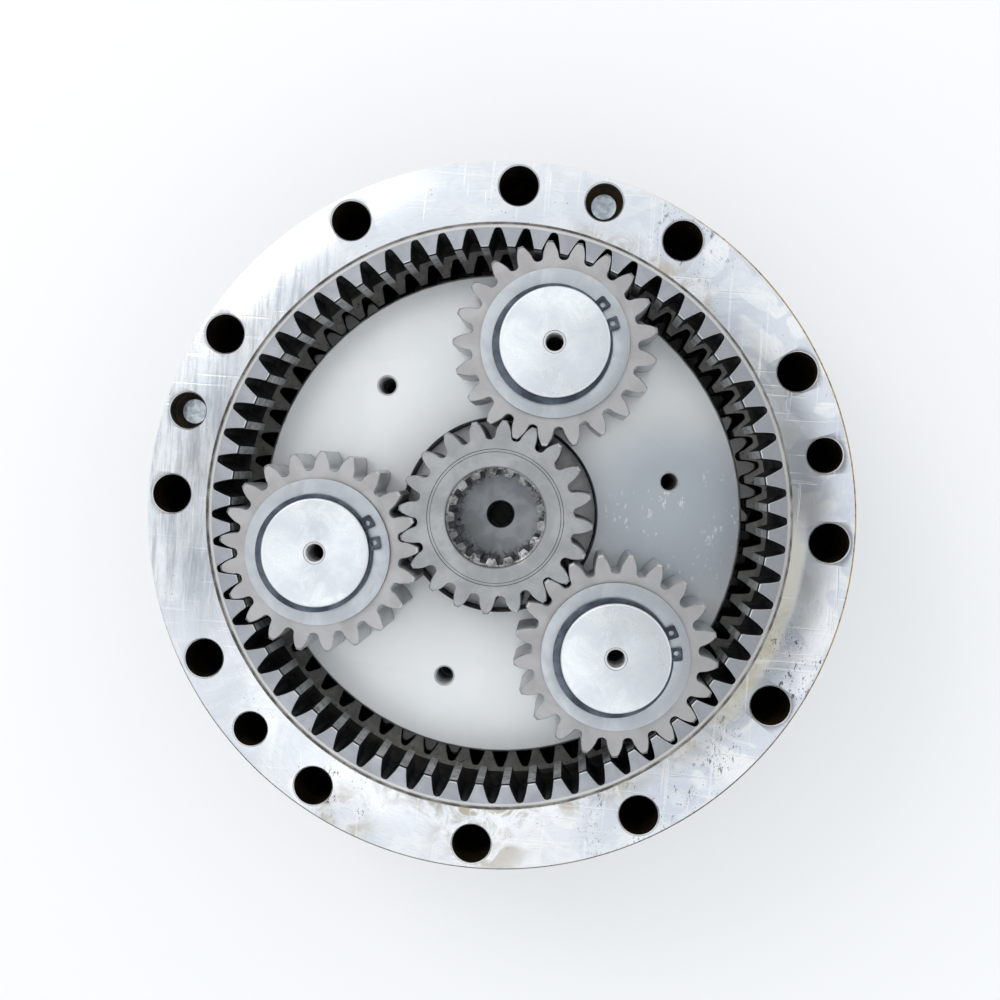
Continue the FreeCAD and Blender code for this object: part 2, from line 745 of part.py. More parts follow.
def make_stage(stage, words, stage_turn):
    """The three planets of a stage, each with its pin, bearing, washers and retaining ring."""
    carrier_base = f"carrier_{words}_floor"
    plate_top = f"{carrier_base} + carrier_{words}_thickness"
    for letter, angle, gap_angle in zip(PLANETS, planet_angles(stage_turn), SNAP_TURNS[stage]):
        make_planet_set(stage, letter, angle, carrier_base, plate_top, f"pin_{words}_length",
                        f"planet_{words}_height", gap_angle)


# ---------------------------------------------------------------- the whole set

def make_all():
    make_ring_gear()
    make_carrier_1()
    make_ring_plate("sun_thrust_plate",
                    "carrier_one_floor + carrier_one_thickness - carrier_one_recess_depth",
                    "thrust_plate_hole_radius", "thrust_plate_radius", "thrust_plate_thickness",
                    flare="thrust_plate_hole_chamfer")
    make_sun_1()
    make_stage(1, "one", "stage_one_turn")
    make_carrier_2()
    make_ring_plate("sun_2_thrust_washer", "carrier_two_floor + carrier_two_thickness",
                    "thrust_washer_inner_radius", "thrust_washer_outer_radius",
                    "thrust_washer_thickness")
    make_sun_2()
    make_stage(2, "two", "stage_two_turn")


def check_all():
    """Stop before writing anything if any object failed or any sub-part is not a sound solid."""
    for item in doc.Objects:
        if {"Invalid", "Error"} & set(item.State):
            raise RuntimeError(f"{item.Label} failed: {item.State}")
    for node in nodes:
        if node.Shape.isNull() or not node.Shape.isValid() or not node.Shape.Solids:
            raise RuntimeError(f"{node.Label} has no sound solid")


make_all()
doc.recompute()
check_all()
os.makedirs("parts", exist_ok=True)
for node in nodes:
    node.Shape.exportStep(f"parts/{node.Label}.step")
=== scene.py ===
"""Looks of the two-stage planetary gear set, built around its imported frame.

Every turned or toothed piece is lofted from closed outlines, so its chamfers and rounded edges are
real faces.
Lengths are written in millimetres and scaled to metres; angles are degrees.
"""
import json
import math

import bmesh
import bpy
import numpy as np
from mathutils import Matrix, Vector


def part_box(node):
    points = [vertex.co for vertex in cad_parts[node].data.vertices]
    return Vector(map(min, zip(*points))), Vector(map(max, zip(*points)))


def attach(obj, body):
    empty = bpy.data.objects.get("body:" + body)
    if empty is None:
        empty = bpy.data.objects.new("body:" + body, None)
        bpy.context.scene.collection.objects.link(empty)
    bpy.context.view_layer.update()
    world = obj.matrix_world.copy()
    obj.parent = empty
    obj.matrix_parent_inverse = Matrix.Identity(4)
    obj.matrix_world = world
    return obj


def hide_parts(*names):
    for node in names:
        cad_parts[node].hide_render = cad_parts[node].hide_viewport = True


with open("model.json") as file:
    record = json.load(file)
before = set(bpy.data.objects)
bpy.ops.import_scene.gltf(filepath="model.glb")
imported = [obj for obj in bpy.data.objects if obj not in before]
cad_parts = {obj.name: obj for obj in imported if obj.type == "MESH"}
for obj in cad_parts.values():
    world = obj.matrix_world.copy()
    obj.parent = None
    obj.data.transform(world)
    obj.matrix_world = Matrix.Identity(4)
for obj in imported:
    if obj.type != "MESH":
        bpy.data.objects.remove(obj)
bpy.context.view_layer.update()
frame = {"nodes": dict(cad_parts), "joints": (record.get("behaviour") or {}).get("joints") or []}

MM = 0.001
scene = bpy.context.scene
nodes = frame["nodes"]
joints = {joint["name"]: joint for joint in frame["joints"]}

# ---------------------------------------------------------------- driving sizes, as in the CAD model

MODULE = 4.0
PRESSURE = math.radians(20)
THINNING = 0.18
TEETH = {"sun": 20, "planet": 21, "ring": 64}
SHIFT = {"sun": 0.27, "planet": 0.272, "ring": -0.18}
TIP = {"sun": 44.9, "planet": 46.9, "ring": 123.3}
ROOT = {"sun": 36.1, "planet": 38.1, "ring": 132.3}
RING_TOOTH_TURN = 3.53
STAGE_TURN = {1: 75.19, 2: 135.19}
CENTRE_DISTANCE = 84.0
LETTERS = "abc"
SNAP_TURNS = {1: (32.2, 23.5, 18.2), 2: (95.0, 210.0, 330.0)}
RING_OUTER = 162.5
RING_HEIGHT = 120.0
PILOT_RADIUS = 134.2
PILOT_DEPTH = 2.0
GROOVE = (134.5, 55.0, 87.0)
LOWER_BORE = (134.0, 18.0)
BOLT_CIRCLE = 151.0
BOLT_RADIUS = 9.0
DOWEL_RADIUS = 8.0
JACK_RADIUS = 8.5
JACK_DEPTH = 10.0
CARRIER_RADIUS = 117.0
EDGE_BREAK = 1.2
CARRIER_RECESS = (47.0, 10.0)
CARRIER_BORE = 38.1
HUB_RADIUS = 58.3
HUB_HEIGHT = 1.5
OUTPUT_SPLINE = (24, 27.0, 30.0)
INPUT_SPLINE = (17, 19.5, 22.0)
TAPS = {1: (4.25, 5.0, 1.5), 2: (5.1, 6.0, 1.75)}
SUN_BORE = 23.2
SUN_MOUTH = 5.0
SUN_TWO_BORE = 14.0
PLANET_BORE = 30.0
PIN_RADIUS = 25.0
PIN_HOLE = 4.0
PIN_MOUTH = 5.0
PIN_GROOVE = (23.5, 2.0)
PIN_PITCH = 1.25
WASHER = (25.1, 34.0)
THRUST_PLATE = (5.5, 46.6)
THRUST_WASHER = (31.0, 44.0)


def node_levels(node):
    """Lowest and highest point of a CAD node, in millimetres."""
    low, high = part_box(node)
    return low.z / MM, high.z / MM


# ---------------------------------------------------------------- outlines

def involute(angle):
    return math.tan(angle) - angle


def tooth_half_angle(kind, radius, thinning):
    """Half the angle that an involute tooth fills at a radius."""
    pitch_radius = MODULE * TEETH[kind] / 2
    thickness = MODULE * (math.pi / 2 + 2 * SHIFT[kind] * math.tan(PRESSURE)) - thinning
    base = pitch_radius * math.cos(PRESSURE)
    at_radius = math.acos(min(1.0, base / radius))
    return thickness / (2 * pitch_radius) + involute(PRESSURE) - involute(at_radius)


def gap_half_angle(kind, radius):
    """Half the angle of the gap between two teeth at a radius."""
    if kind == "ring":
        return tooth_half_angle(kind, radius, -THINNING)
    return math.pi / TEETH[kind] - tooth_half_angle(kind, radius, THINNING)


def gear_outline(kind, turn, flank_points=6, root_points=5, tip_points=4):
    """Angles and radii of a whole toothed outline, with one gap centred on the turn."""
    base = MODULE * TEETH[kind] / 2 * math.cos(PRESSURE)
    tip, root = TIP[kind], ROOT[kind]
    form = root - 1.1 if kind == "ring" else base * 1.004
    flank = [(gap_half_angle(kind, radius), radius) for radius in np.linspace(tip, form, flank_points)]
    form_half = flank[-1][0]
    bottom = []
    for step in range(1, root_points + 1):
        share = math.pi * step / (root_points + 1)
        bottom.append((form_half * math.cos(share), form + (root - form) * math.sin(share)))
    half_tooth = math.pi / TEETH[kind] - flank[0][0]
    crown = [(flank[0][0] + half_tooth * 2 * (step + 1) / (tip_points + 1), tip)
             for step in range(tip_points)]
    rising = [(angle, radius) for angle, radius in reversed(flank)]
    one_gap = [(-a, r) for a, r in flank + bottom] + rising + crown
    points = []
    for tooth in range(TEETH[kind]):
        start = math.radians(turn) + tooth * 2 * math.pi / TEETH[kind]
        points += [(start + angle, radius) for angle, radius in one_gap]
    return np.array(points)


def spline_outline(teeth, minor, major, turn, points):
    """Angles and radii of a straight-sided internal spline."""
    shape = [(-0.5, minor), (-0.28, minor), (-0.17, major), (0.17, major), (0.28, minor), (0.5, minor)]
    outline = []
    for tooth in range(teeth):
        for step in range(points):
            share = (step + 0.5) / points - 0.5
            radius = np.interp(share, [a for a, _ in shape], [r for _, r in shape])
            outline.append((math.radians(turn) + (tooth + share) * 2 * math.pi / teeth, radius))
    return np.array(outline)


def circle_outline(angles, radius):
    return np.column_stack([angles, np.full(len(angles), float(radius))])


def inset(outline, distance):
    """The outline moved sideways, towards its left, by a distance."""
    xy = np.column_stack([outline[:, 1] * np.cos(outline[:, 0]), outline[:, 1] * np.sin(outline[:, 0])])
    along = np.roll(xy, -1, axis=0) - np.roll(xy, 1, axis=0)
    along /= np.linalg.norm(along, axis=1)[:, None]
    moved = xy + distance * np.column_stack([-along[:, 1], along[:, 0]])
    angle = np.arctan2(moved[:, 1], moved[:, 0])
    turns = np.round((outline[:, 0] - angle) / (2 * math.pi))
    return np.column_stack([angle + turns * 2 * math.pi, np.hypot(moved[:, 0], moved[:, 1])])


def capped(outline, low=None, high=None):
    return np.column_stack([outline[:, 0], np.clip(outline[:, 1], low, high)])


# ---------------------------------------------------------------- meshes

def mesh_object(name, points, faces, kinds, materials, centre=(0, 0, 0), sharp=32):
    """A mesh in millimetres about a centre, shaded smooth but for its sharp edges."""
    mesh = bpy.data.meshes.new(name)
    mesh.from_pydata((np.asarray(points) * MM).tolist(), [], faces)
    for material in materials:
        mesh.materials.append(material)
    mesh.polygons.foreach_set("material_index", kinds)
    mesh.polygons.foreach_set("use_smooth", [True] * len(mesh.polygons))
    mesh.set_sharp_from_angle(angle=math.radians(sharp))
    mesh.update()
    piece = bpy.data.objects.new(name, mesh)
    piece.location = Vector(centre) * MM
    scene.collection.objects.link(piece)
    return piece


def loft(name, loops, materials, centre=(0, 0, 0), sharp=32):
    """Join outlines in turn.  Each loop is (outline, height, material of the band that follows it)."""
    points, faces, kinds = [], [], []
    for outline, height, _ in loops:
        points += [(r * math.cos(a), r * math.sin(a), height) for a, r in outline]
    count = len(loops[0][0])
    for index in range(len(loops)):
        here, there = index * count, (index + 1) % len(loops) * count
        for side in range(count):
            after = (side + 1) % count
            faces.append((here + side, here + after, there + after, there + side))
            kinds.append(loops[index][2])
    piece = mesh_object(name, points, faces, kinds, materials, centre, sharp)
    fix_normals(piece)
    return piece


def fix_normals(piece):
    """Point every face outwards."""
    work = bmesh.new()
    work.from_mesh(piece.data)
    bmesh.ops.recalc_face_normals(work, faces=work.faces)
    work.to_mesh(piece.data)
    work.free()


def rounded(profile, radius, steps=3):
    """Round the corners of a closed (radius, height) profile; each corner may carry its own radius."""
    result = []
    count = len(profile)
    for index, corner in enumerate(profile):
        here = Vector(corner[:2])
        before = Vector(profile[index - 1][:2]) - here
        after = Vector(profile[(index + 1) % count][:2]) - here
        kind = corner[2] if len(corner) > 2 else 0
        size = corner[3] if len(corner) > 3 else radius
        if size == 0:
            result.append((here.x, here.y, kind))
            continue
        reach = min(size, before.length * 0.45, after.length * 0.45)
        start, end = here + before.normalized() * reach, here + after.normalized() * reach
        for step in range(steps + 1):
            t = step / steps
            point = start * (1 - t) ** 2 + here * 2 * t * (1 - t) + end * t * t
            result.append((point.x, point.y, kind))
    return result


def lathe(name, profile, materials, centre=(0, 0, 0), edge=0.25, segments=160, sharp=32):
    """Turn a closed profile of (radius, height, material, corner radius) about Z."""
    angles = np.arange(segments) * 2 * math.pi / segments
    loops = [(circle_outline(angles, r), h, kind) for r, h, kind in rounded(profile, edge)]
    return loft(name, loops, materials, centre, sharp)


def cut(piece, cutters):
    """Subtract the cutters from a piece and remove them."""
    bpy.ops.object.select_all(action="DESELECT")
    for cutter in cutters:
        cutter.select_set(True)
    bpy.context.view_layer.objects.active = cutters[0]
    bpy.ops.object.join()
    tool = cutters[0]
    modifier = piece.modifiers.new("holes", "BOOLEAN")
    modifier.operation = "DIFFERENCE"
    modifier.solver = "EXACT"
    modifier.material_mode = "TRANSFER"
    modifier.object = tool
    graph = bpy.context.evaluated_depsgraph_get()
    result = bpy.data.meshes.new_from_object(piece.evaluated_get(graph))
    piece.modifiers.clear()
    piece.data = result
    bpy.data.objects.remove(tool)
    result.set_sharp_from_angle(angle=math.radians(32))


def finish_piece(piece, body, node):
    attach(piece, body)
    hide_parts(node)
    return piece


# ---------------------------------------------------------------- materials

class Nodes:
    """Short calls for building one material's node tree."""

    def __init__(self, name):
        self.material = bpy.data.materials.new(name)
        self.material.use_nodes = True
        self.tree = self.material.node_tree
        self.shader = self.tree.nodes["Principled BSDF"]
        self.position = self.tree.nodes.new("ShaderNodeTexCoord").outputs["Object"]

    def link(self, source, target):
        self.tree.links.new(source, target)

    def put(self, node, name, value):
        if isinstance(value, bpy.types.NodeSocket):
            self.link(value, node.inputs[name])
        else:
            node.inputs[name].default_value = value

    def math(self, operation, first, second=0.0):
        node = self.tree.nodes.new("ShaderNodeMath")
        node.operation = operation
        self.put(node, 0, first)
        self.put(node, 1, second)
        return node.outputs[0]

    def scaled(self, scale, turn=0.0):
        node = self.tree.nodes.new("ShaderNodeMapping")
        self.link(self.position, node.inputs["Vector"])
        node.inputs["Scale"].default_value = scale
        node.inputs["Rotation"].default_value = (0, 0, math.radians(turn))
        return node.outputs["Vector"]

    def noise(self, scale, detail=4.0, roughness=0.55, vector=None, distortion=0.0):
        node = self.tree.nodes.new("ShaderNodeTexNoise")
        node.inputs["Scale"].default_value = scale
        node.inputs["Detail"].default_value = detail
        node.inputs["Roughness"].default_value = roughness
        node.inputs["Distortion"].default_value = distortion
        self.link(vector or self.position, node.inputs["Vector"])
        return node.outputs["Fac"]

    def cells(self, scale, vector=None):
        node = self.tree.nodes.new("ShaderNodeTexVoronoi")
        node.inputs["Scale"].default_value = scale
        self.link(vector or self.position, node.inputs["Vector"])
        return node.outputs["Distance"]

    def ramp(self, source, low, high, start=0.0, end=1.0):
        node = self.tree.nodes.new("ShaderNodeMapRange")
        node.interpolation_type = "SMOOTHSTEP"
        for name, value in (("Value", source), ("From Min", low), ("From Max", high),
                            ("To Min", start), ("To Max", end)):
            self.put(node, name, value)
        return node.outputs["Result"]

    def mix(self, share, first, second):
        node = self.tree.nodes.new("ShaderNodeMix")
        node.data_type = "RGBA"
        self.put(node, "Factor", share)
        for socket, value in ((node.inputs[6], first), (node.inputs[7], second)):
            if isinstance(value, bpy.types.NodeSocket):
                self.link(value, socket)
            else:
                socket.default_value = (*value, 1.0)
        return node.outputs[2]

    def axis(self, index):
        split = self.tree.nodes.new("ShaderNodeSeparateXYZ")
        self.link(self.position, split.inputs[0])
        return split.outputs[index]

    def hypot(self, first, second):
        squares = [self.math("MULTIPLY", side, side) for side in (first, second)]
        return self.math("SQRT", self.math("ADD", *squares))

    def radius(self):
        """Distance from the piece's own Z axis, in metres."""
        return self.hypot(self.axis(0), self.axis(1))

    def spot(self, x, y, inner, outer):
        """One inside a circle about a point in millimetres, fading to nought at the outer radius."""
        across = self.math("SUBTRACT", self.axis(0), x * MM)
        along = self.math("SUBTRACT", self.axis(1), y * MM)
        return self.ramp(self.hypot(across, along), outer * MM, inner * MM)

    def tint(self, colour, share, amount, target):
        """Move a colour part of the way to another one where the mask is set."""
        return self.mix(self.math("MULTIPLY", share, amount), colour, target)

    def all_of(self, *shares):
        """The product of several masks."""
        result = shares[0]
        for share in shares[1:]:
            result = self.math("MULTIPLY", result, share)
        return result

    def any_of(self, *shares):
        """The largest of several masks."""
        result = shares[0]
        for share in shares[1:]:
            result = self.math("MAXIMUM", result, share)
        return result

    def rings(self):
        """Coordinates that follow the turning marks: angle, distance from the axis and height."""
        join = self.tree.nodes.new("ShaderNodeCombineXYZ")
        self.link(self.math("ARCTAN2", self.axis(1), self.axis(0)), join.inputs[0])
        self.link(self.radius(), join.inputs[1])
        self.link(self.axis(2), join.inputs[2])
        return join.outputs[0]

    def stretched(self, vector, scale):
        node = self.tree.nodes.new("ShaderNodeMapping")
        self.link(vector, node.inputs["Vector"])
        node.inputs["Scale"].default_value = scale
        return node.outputs["Vector"]

    def bump(self, height, strength, distance, below=None):
        node = self.tree.nodes.new("ShaderNodeBump")
        node.inputs["Strength"].default_value = strength
        node.inputs["Distance"].default_value = distance
        self.link(height, node.inputs["Height"])
        if below is not None:
            self.link(below, node.inputs["Normal"])
        return node.outputs["Normal"]

    def surface(self, color, roughness, metallic=1.0, normal=None):
        self.shader.inputs["Metallic"].default_value = metallic
        if isinstance(color, bpy.types.NodeSocket):
            self.link(color, self.shader.inputs["Base Color"])
        else:
            self.shader.inputs["Base Color"].default_value = (*color, 1.0)
        self.put(self.shader, "Roughness", roughness)
        if normal is not None:
            self.link(normal, self.shader.inputs["Normal"])
        return self.material


def make_ground_flange():
    """Ground flange face: cloudy and wiped, with stains by the pilot step, scratches and dark pits, and
    bluish patches made stronger on its right side as painted shade.
    """
    n = Nodes("ground_flange")
    radius = n.radius()
    clouds = n.ramp(n.noise(26, 5, 0.62, distortion=0.8), 0.36, 0.66)
    patches = n.ramp(n.noise(48, 2, 0.4, distortion=1.2), 0.46, 0.54)
    colour = n.mix(clouds, (0.74, 0.77, 0.81), (0.88, 0.89, 0.90))
    # bluish patches: partly the face's own random tone, partly painted shade that grows towards the right
    # side
    blue_and_right_shade = n.math("MULTIPLY", patches, n.ramp(n.axis(0), 0.02, 0.11, 0.15, 0.5))
    colour = n.mix(blue_and_right_shade, colour, (0.55, 0.60, 0.70))
    wipes = n.ramp(n.noise(130, 5, 0.7, n.scaled((2.4, 0.22, 1), 6)), 0.42, 0.66)
    wiped = n.math("MULTIPLY", n.any_of(n.spot(-152, 10, 40, 85), n.spot(-120, 95, 20, 60)), 0.75)
    colour = n.mix(n.all_of(wipes, wiped), colour, (0.42, 0.45, 0.49))
    arcs = n.ramp(n.noise(60, 4, 0.6, n.stretched(n.rings(), (0.5, 26, 1))), 0.50, 0.70)
    colour = n.tint(colour, arcs, 0.25, (0.55, 0.57, 0.60))
    near_step = n.ramp(radius, 0.1455, 0.1345)
    brown = n.ramp(n.noise(75, 6, 0.72, distortion=1.0), 0.42, 0.62)
    low = n.any_of(n.spot(20, -140, 45, 80), n.spot(120, -75, 35, 65), n.spot(65, 125, 25, 50))
    stain = n.all_of(near_step, brown, low)
    colour = n.tint(colour, stain, 0.7, (0.44, 0.38, 0.27))
    band = n.all_of(n.ramp(radius, 0.1425, 0.1385), n.spot(134, -42, 34, 62))
    colour = n.tint(colour, band, 0.6, (0.52, 0.48, 0.36))
    pool = n.all_of(n.any_of(n.spot(4, -146, 14, 30), n.spot(-62, -146, 8, 22)), brown)
    colour = n.tint(colour, pool, 0.6, (0.50, 0.44, 0.33))
    dirty = n.any_of(n.spot(98, -122, 30, 62), n.spot(78, 132, 12, 30), n.spot(-60, -132, 10, 24),
                     n.spot(140, -58, 10, 34))
    grain = n.ramp(n.cells(640, n.scaled((1.0, 0.7, 1), 30)), 0.24, 0.10)
    flakes = n.ramp(n.noise(560, 4, 0.7, n.scaled((1.0, 0.45, 1), -35)), 0.56, 0.62)
    specks = n.all_of(n.any_of(grain, flakes), n.ramp(n.noise(70, 3, 0.6), 0.46, 0.60), dirty)
    strays = n.all_of(n.ramp(n.cells(380), 0.12, 0.06), n.ramp(n.noise(34, 2), 0.52, 0.60))
    pits = n.any_of(specks, strays)
    colour = n.tint(colour, pits, 0.85, (0.07, 0.06, 0.06))
    scratches = n.ramp(n.noise(520, 2, 0.5, n.scaled((0.03, 1, 1), 24), 0.3), 0.645, 0.70)
    crossing = n.ramp(n.noise(480, 2, 0.5, n.scaled((1, 0.035, 1), 12), 0.3), 0.65, 0.70)
    lines = n.any_of(scratches, crossing)
    colour = n.tint(colour, lines, 0.35, (0.95, 0.95, 0.95))
    rough = n.ramp(clouds, 0, 1, 0.25, 0.19)
    rough = n.math("ADD", rough, n.math("MULTIPLY", n.any_of(stain, pool, band), 0.25))
    height = n.math("SUBTRACT", n.math("MULTIPLY", lines, -0.5), pits)
    height = n.math("ADD", height, n.math("MULTIPLY", clouds, 0.6))
    return n.surface(colour, rough, normal=n.bump(height, 0.3, 0.00015))


def make_outer_edge():
    """The flange's outer chamfer: rusty on the right, dark below, bright elsewhere, with small nicks."""
    n = Nodes("outer_edge")
    rust = n.ramp(n.axis(0), 0.045, 0.12)
    dark = n.ramp(n.axis(1), -0.02, -0.12)
    nicks = n.ramp(n.noise(330, 4, 0.7), 0.50, 0.58)
    colour = n.mix(rust, (0.80, 0.80, 0.80), (0.42, 0.27, 0.08))
    colour = n.tint(colour, dark, 0.85, (0.10, 0.09, 0.08))
    share = n.all_of(nicks, n.math("MAXIMUM", rust, dark))
    colour = n.tint(colour, share, 0.8, (0.05, 0.04, 0.03))
    return n.surface(colour, 0.5, metallic=0.4, normal=n.bump(nicks, 0.4, 0.0002))


def make_ring_face():
    """Milled end faces of the ring's teeth: bluish grey, with a paler worn strip by the pilot step."""
    n = Nodes("ring_tooth_ends")
    mottle = n.ramp(n.noise(60, 5, 0.65, distortion=0.5), 0.36, 0.66)
    colour = n.mix(mottle, (0.36, 0.37, 0.40), (0.46, 0.47, 0.51))
    outer = n.ramp(n.radius(), 0.1322, 0.1328)
    colour = n.tint(colour, outer, 0.8, (0.78, 0.77, 0.74))
    rim = n.all_of(n.ramp(n.radius(), 0.1332, 0.1341), n.ramp(n.noise(160, 5, 0.7), 0.44, 0.58))
    colour = n.tint(colour, rim, 0.55, (0.20, 0.16, 0.11))
    fine = n.noise(900, 3, 0.6)
    return n.surface(colour, n.ramp(mottle, 0, 1, 0.38, 0.30), metallic=0.85,
                     normal=n.bump(fine, 0.2, 0.00006))


def make_machined(name, light, dark, rough, grain=40.0, bump=0.15, metallic=1.0):
    """A machined steel surface with soft mottling and a fine grain."""
    n = Nodes(name)
    mottle = n.ramp(n.noise(grain, 5, 0.6, distortion=0.4), 0.36, 0.66)
    fine = n.noise(1400, 2, 0.5)
    colour = n.mix(mottle, dark, light)
    roughness = n.ramp(mottle, 0, 1, rough + 0.06, rough - 0.04)
    return n.surface(colour, roughness, metallic, n.bump(fine, bump, 0.00005))


def make_speckled(name, light, dark, rough, density=0.5, metallic=1.0):
    """Worn steel with broken dark flecks and small bright spots."""
    n = Nodes(name)
    mottle = n.ramp(n.noise(120, 5, 0.7, distortion=0.7), 0.34, 0.66)
    flecks = n.ramp(n.noise(380, 4, 0.75), 0.62 - 0.1 * density, 0.70 - 0.1 * density)
    bright = n.ramp(n.noise(300, 3, 0.6, n.scaled((1, 1.7, 1), 40)), 0.62, 0.70)
    colour = n.mix(mottle, dark, light)
    colour = n.tint(colour, flecks, 0.8, tuple(value * 0.2 for value in dark))
    colour = n.tint(colour, bright, 0.5, (0.85, 0.86, 0.84))
    height = n.math("SUBTRACT", bright, flecks)
    return n.surface(colour, n.ramp(mottle, 0, 1, rough + 0.1, rough - 0.05), metallic,
                     n.bump(height, 0.35, 0.0002))


def make_flank(name, light, dark, top, bottom, rough):
    """Tooth flanks with painted shade: light near the top of the gear, darkening towards its bottom."""
    n = Nodes(name)
    mottle = n.ramp(n.noise(110, 4, 0.65), 0.36, 0.66)
    # painted shade: darker towards the gear's bottom face, where the teeth meet the parts below
    painted_shade_depth = n.ramp(n.axis(2), bottom * MM, top * MM)
    colour = n.mix(painted_shade_depth, dark, light)
    colour = n.tint(colour, mottle, 0.3, tuple(value * 0.6 for value in light))
    return n.surface(colour, rough, metallic=0.6, normal=n.bump(n.noise(500, 3), 0.2, 0.0001))


def make_carrier_plate():
    """Finely ground plate: bright and even, with a patch of painted shade, droplets and smears on its
    right.
    """
    n = Nodes("carrier_plate")
    soft = n.ramp(n.noise(14, 4, 0.55, distortion=0.6), 0.34, 0.66)
    patches = n.ramp(n.noise(34, 2, 0.4, distortion=1.0), 0.46, 0.55)
    colour = n.mix(soft, (0.94, 0.97, 0.98), (0.98, 0.99, 0.99))
    colour = n.tint(colour, patches, 0.10, (0.72, 0.78, 0.83))
    # painted shade: a darker patch on the right of the plate stands in for the shade reflected there
    painted_shade_film = n.spot(88, 4, 22, 66)
    colour = n.tint(colour, painted_shade_film, 0.85, (0.40, 0.45, 0.50))
    wet = n.ramp(n.noise(30, 3, 0.6), 0.50, 0.62)
    drops = n.ramp(n.noise(420, 3, 0.6, n.scaled((1, 0.6, 1), -40)), 0.60, 0.66)
    drops = n.all_of(drops, wet)
    colour = n.tint(colour, drops, 0.5, (0.98, 0.98, 0.98))
    smear = n.ramp(n.noise(90, 5, 0.7, n.scaled((2.0, 0.3, 1), -30)), 0.52, 0.70)
    height = n.math("ADD", drops, n.math("MULTIPLY", smear, 0.15))
    return n.surface(colour, n.ramp(soft, 0, 1, 0.36, 0.30), metallic=0.15,
                     normal=n.bump(height, 0.2, 0.00015))


def make_turned(name, light, dark, rough, anisotropic=0.55, bump=0.25, pitch=0.00022):
    """A face turned on a lathe: fine rings about its own axis and a fan-shaped sheen."""
    n = Nodes(name)
    mottle = n.ramp(n.noise(70, 4, 0.6, distortion=0.8), 0.35, 0.68)
    rings = n.math("SINE", n.math("MULTIPLY", n.radius(), 2 * math.pi / pitch))
    wear = n.ramp(n.noise(40, 4, 0.6, n.stretched(n.rings(), (0.4, 60, 1))), 0.40, 0.64)
    colour = n.mix(mottle, dark, light)
    colour = n.tint(colour, wear, 0.2, dark)
    roughness = n.ramp(mottle, 0, 1, rough + 0.05, rough - 0.03)
    material = n.surface(colour, roughness, normal=n.bump(rings, bump, 0.000012))
    n.shader.inputs["Anisotropic"].default_value = anisotropic
    tangent = n.tree.nodes.new("ShaderNodeTangent")
    tangent.direction_type = "RADIAL"
    tangent.axis = "Z"
    n.link(tangent.outputs[0], n.shader.inputs["Tangent"])
    return material


def make_painted_shade(name, colour, rough, brown=None):
    """Painted shade: near-black steel with a patchy oil film, for walls deep between teeth, inside holes
    and along edges, standing in for the shade there.
    """
    n = Nodes(name)
    painted_shade_film = n.ramp(n.noise(90, 4, 0.6), 0.4, 0.65)
    shade = n.mix(painted_shade_film, colour, brown or tuple(value * 2.2 for value in colour))
    return n.surface(shade, n.ramp(painted_shade_film, 0, 1, rough, rough - 0.15), metallic=0.6,
                     normal=n.bump(n.noise(700, 3), 0.2, 0.0001))


def make_thrust_plate():
    """Thrust plate: bluish grey inside the sun's bore, painted darker there as shade, with painted shade
    broken into dark flecks towards the bore's wall, and bright outside it.
    """
    n = Nodes("thrust_plate")
    radius = n.radius()
    mottle = n.ramp(n.noise(110, 5, 0.6, distortion=0.6), 0.36, 0.64)
    # painted shade: bluish grey and darker inside the sun's bore than the bright face outside it
    colour = n.mix(mottle, (0.46, 0.49, 0.52), (0.60, 0.63, 0.67))
    flecks = n.ramp(n.noise(420, 5, 0.75), 0.50, 0.58)
    # painted shade: dark flecks that gather towards the bore's wall
    bore_wall_shade = n.ramp(radius, 0.0165, 0.0215)
    colour = n.mix(n.all_of(flecks, bore_wall_shade), colour, (0.03, 0.03, 0.03))
    outside = n.ramp(radius, 0.0228, 0.0232)
    colour = n.mix(outside, colour, n.mix(mottle, (0.66, 0.67, 0.68), (0.80, 0.81, 0.81)))
    ring = n.all_of(n.ramp(radius, 0.0072, 0.0069), n.ramp(radius, 0.0052, 0.0055))
    colour = n.tint(colour, ring, 0.7, (0.12, 0.12, 0.12))
    return n.surface(colour, n.ramp(mottle, 0, 1, 0.42, 0.34), metallic=0.25,
                     normal=n.bump(flecks, 0.2, 0.0001))


def make_hole_floor():
    """Floor of the jacking holes: a bright wet disc inside a dark ring."""
    n = Nodes("hole_floor")
    mottle = n.ramp(n.noise(190, 5, 0.65), 0.36, 0.64)
    colour = n.mix(mottle, (0.30, 0.34, 0.38), (0.62, 0.68, 0.72))
    return n.surface(colour, 0.3, normal=n.bump(mottle, 0.4, 0.0003))


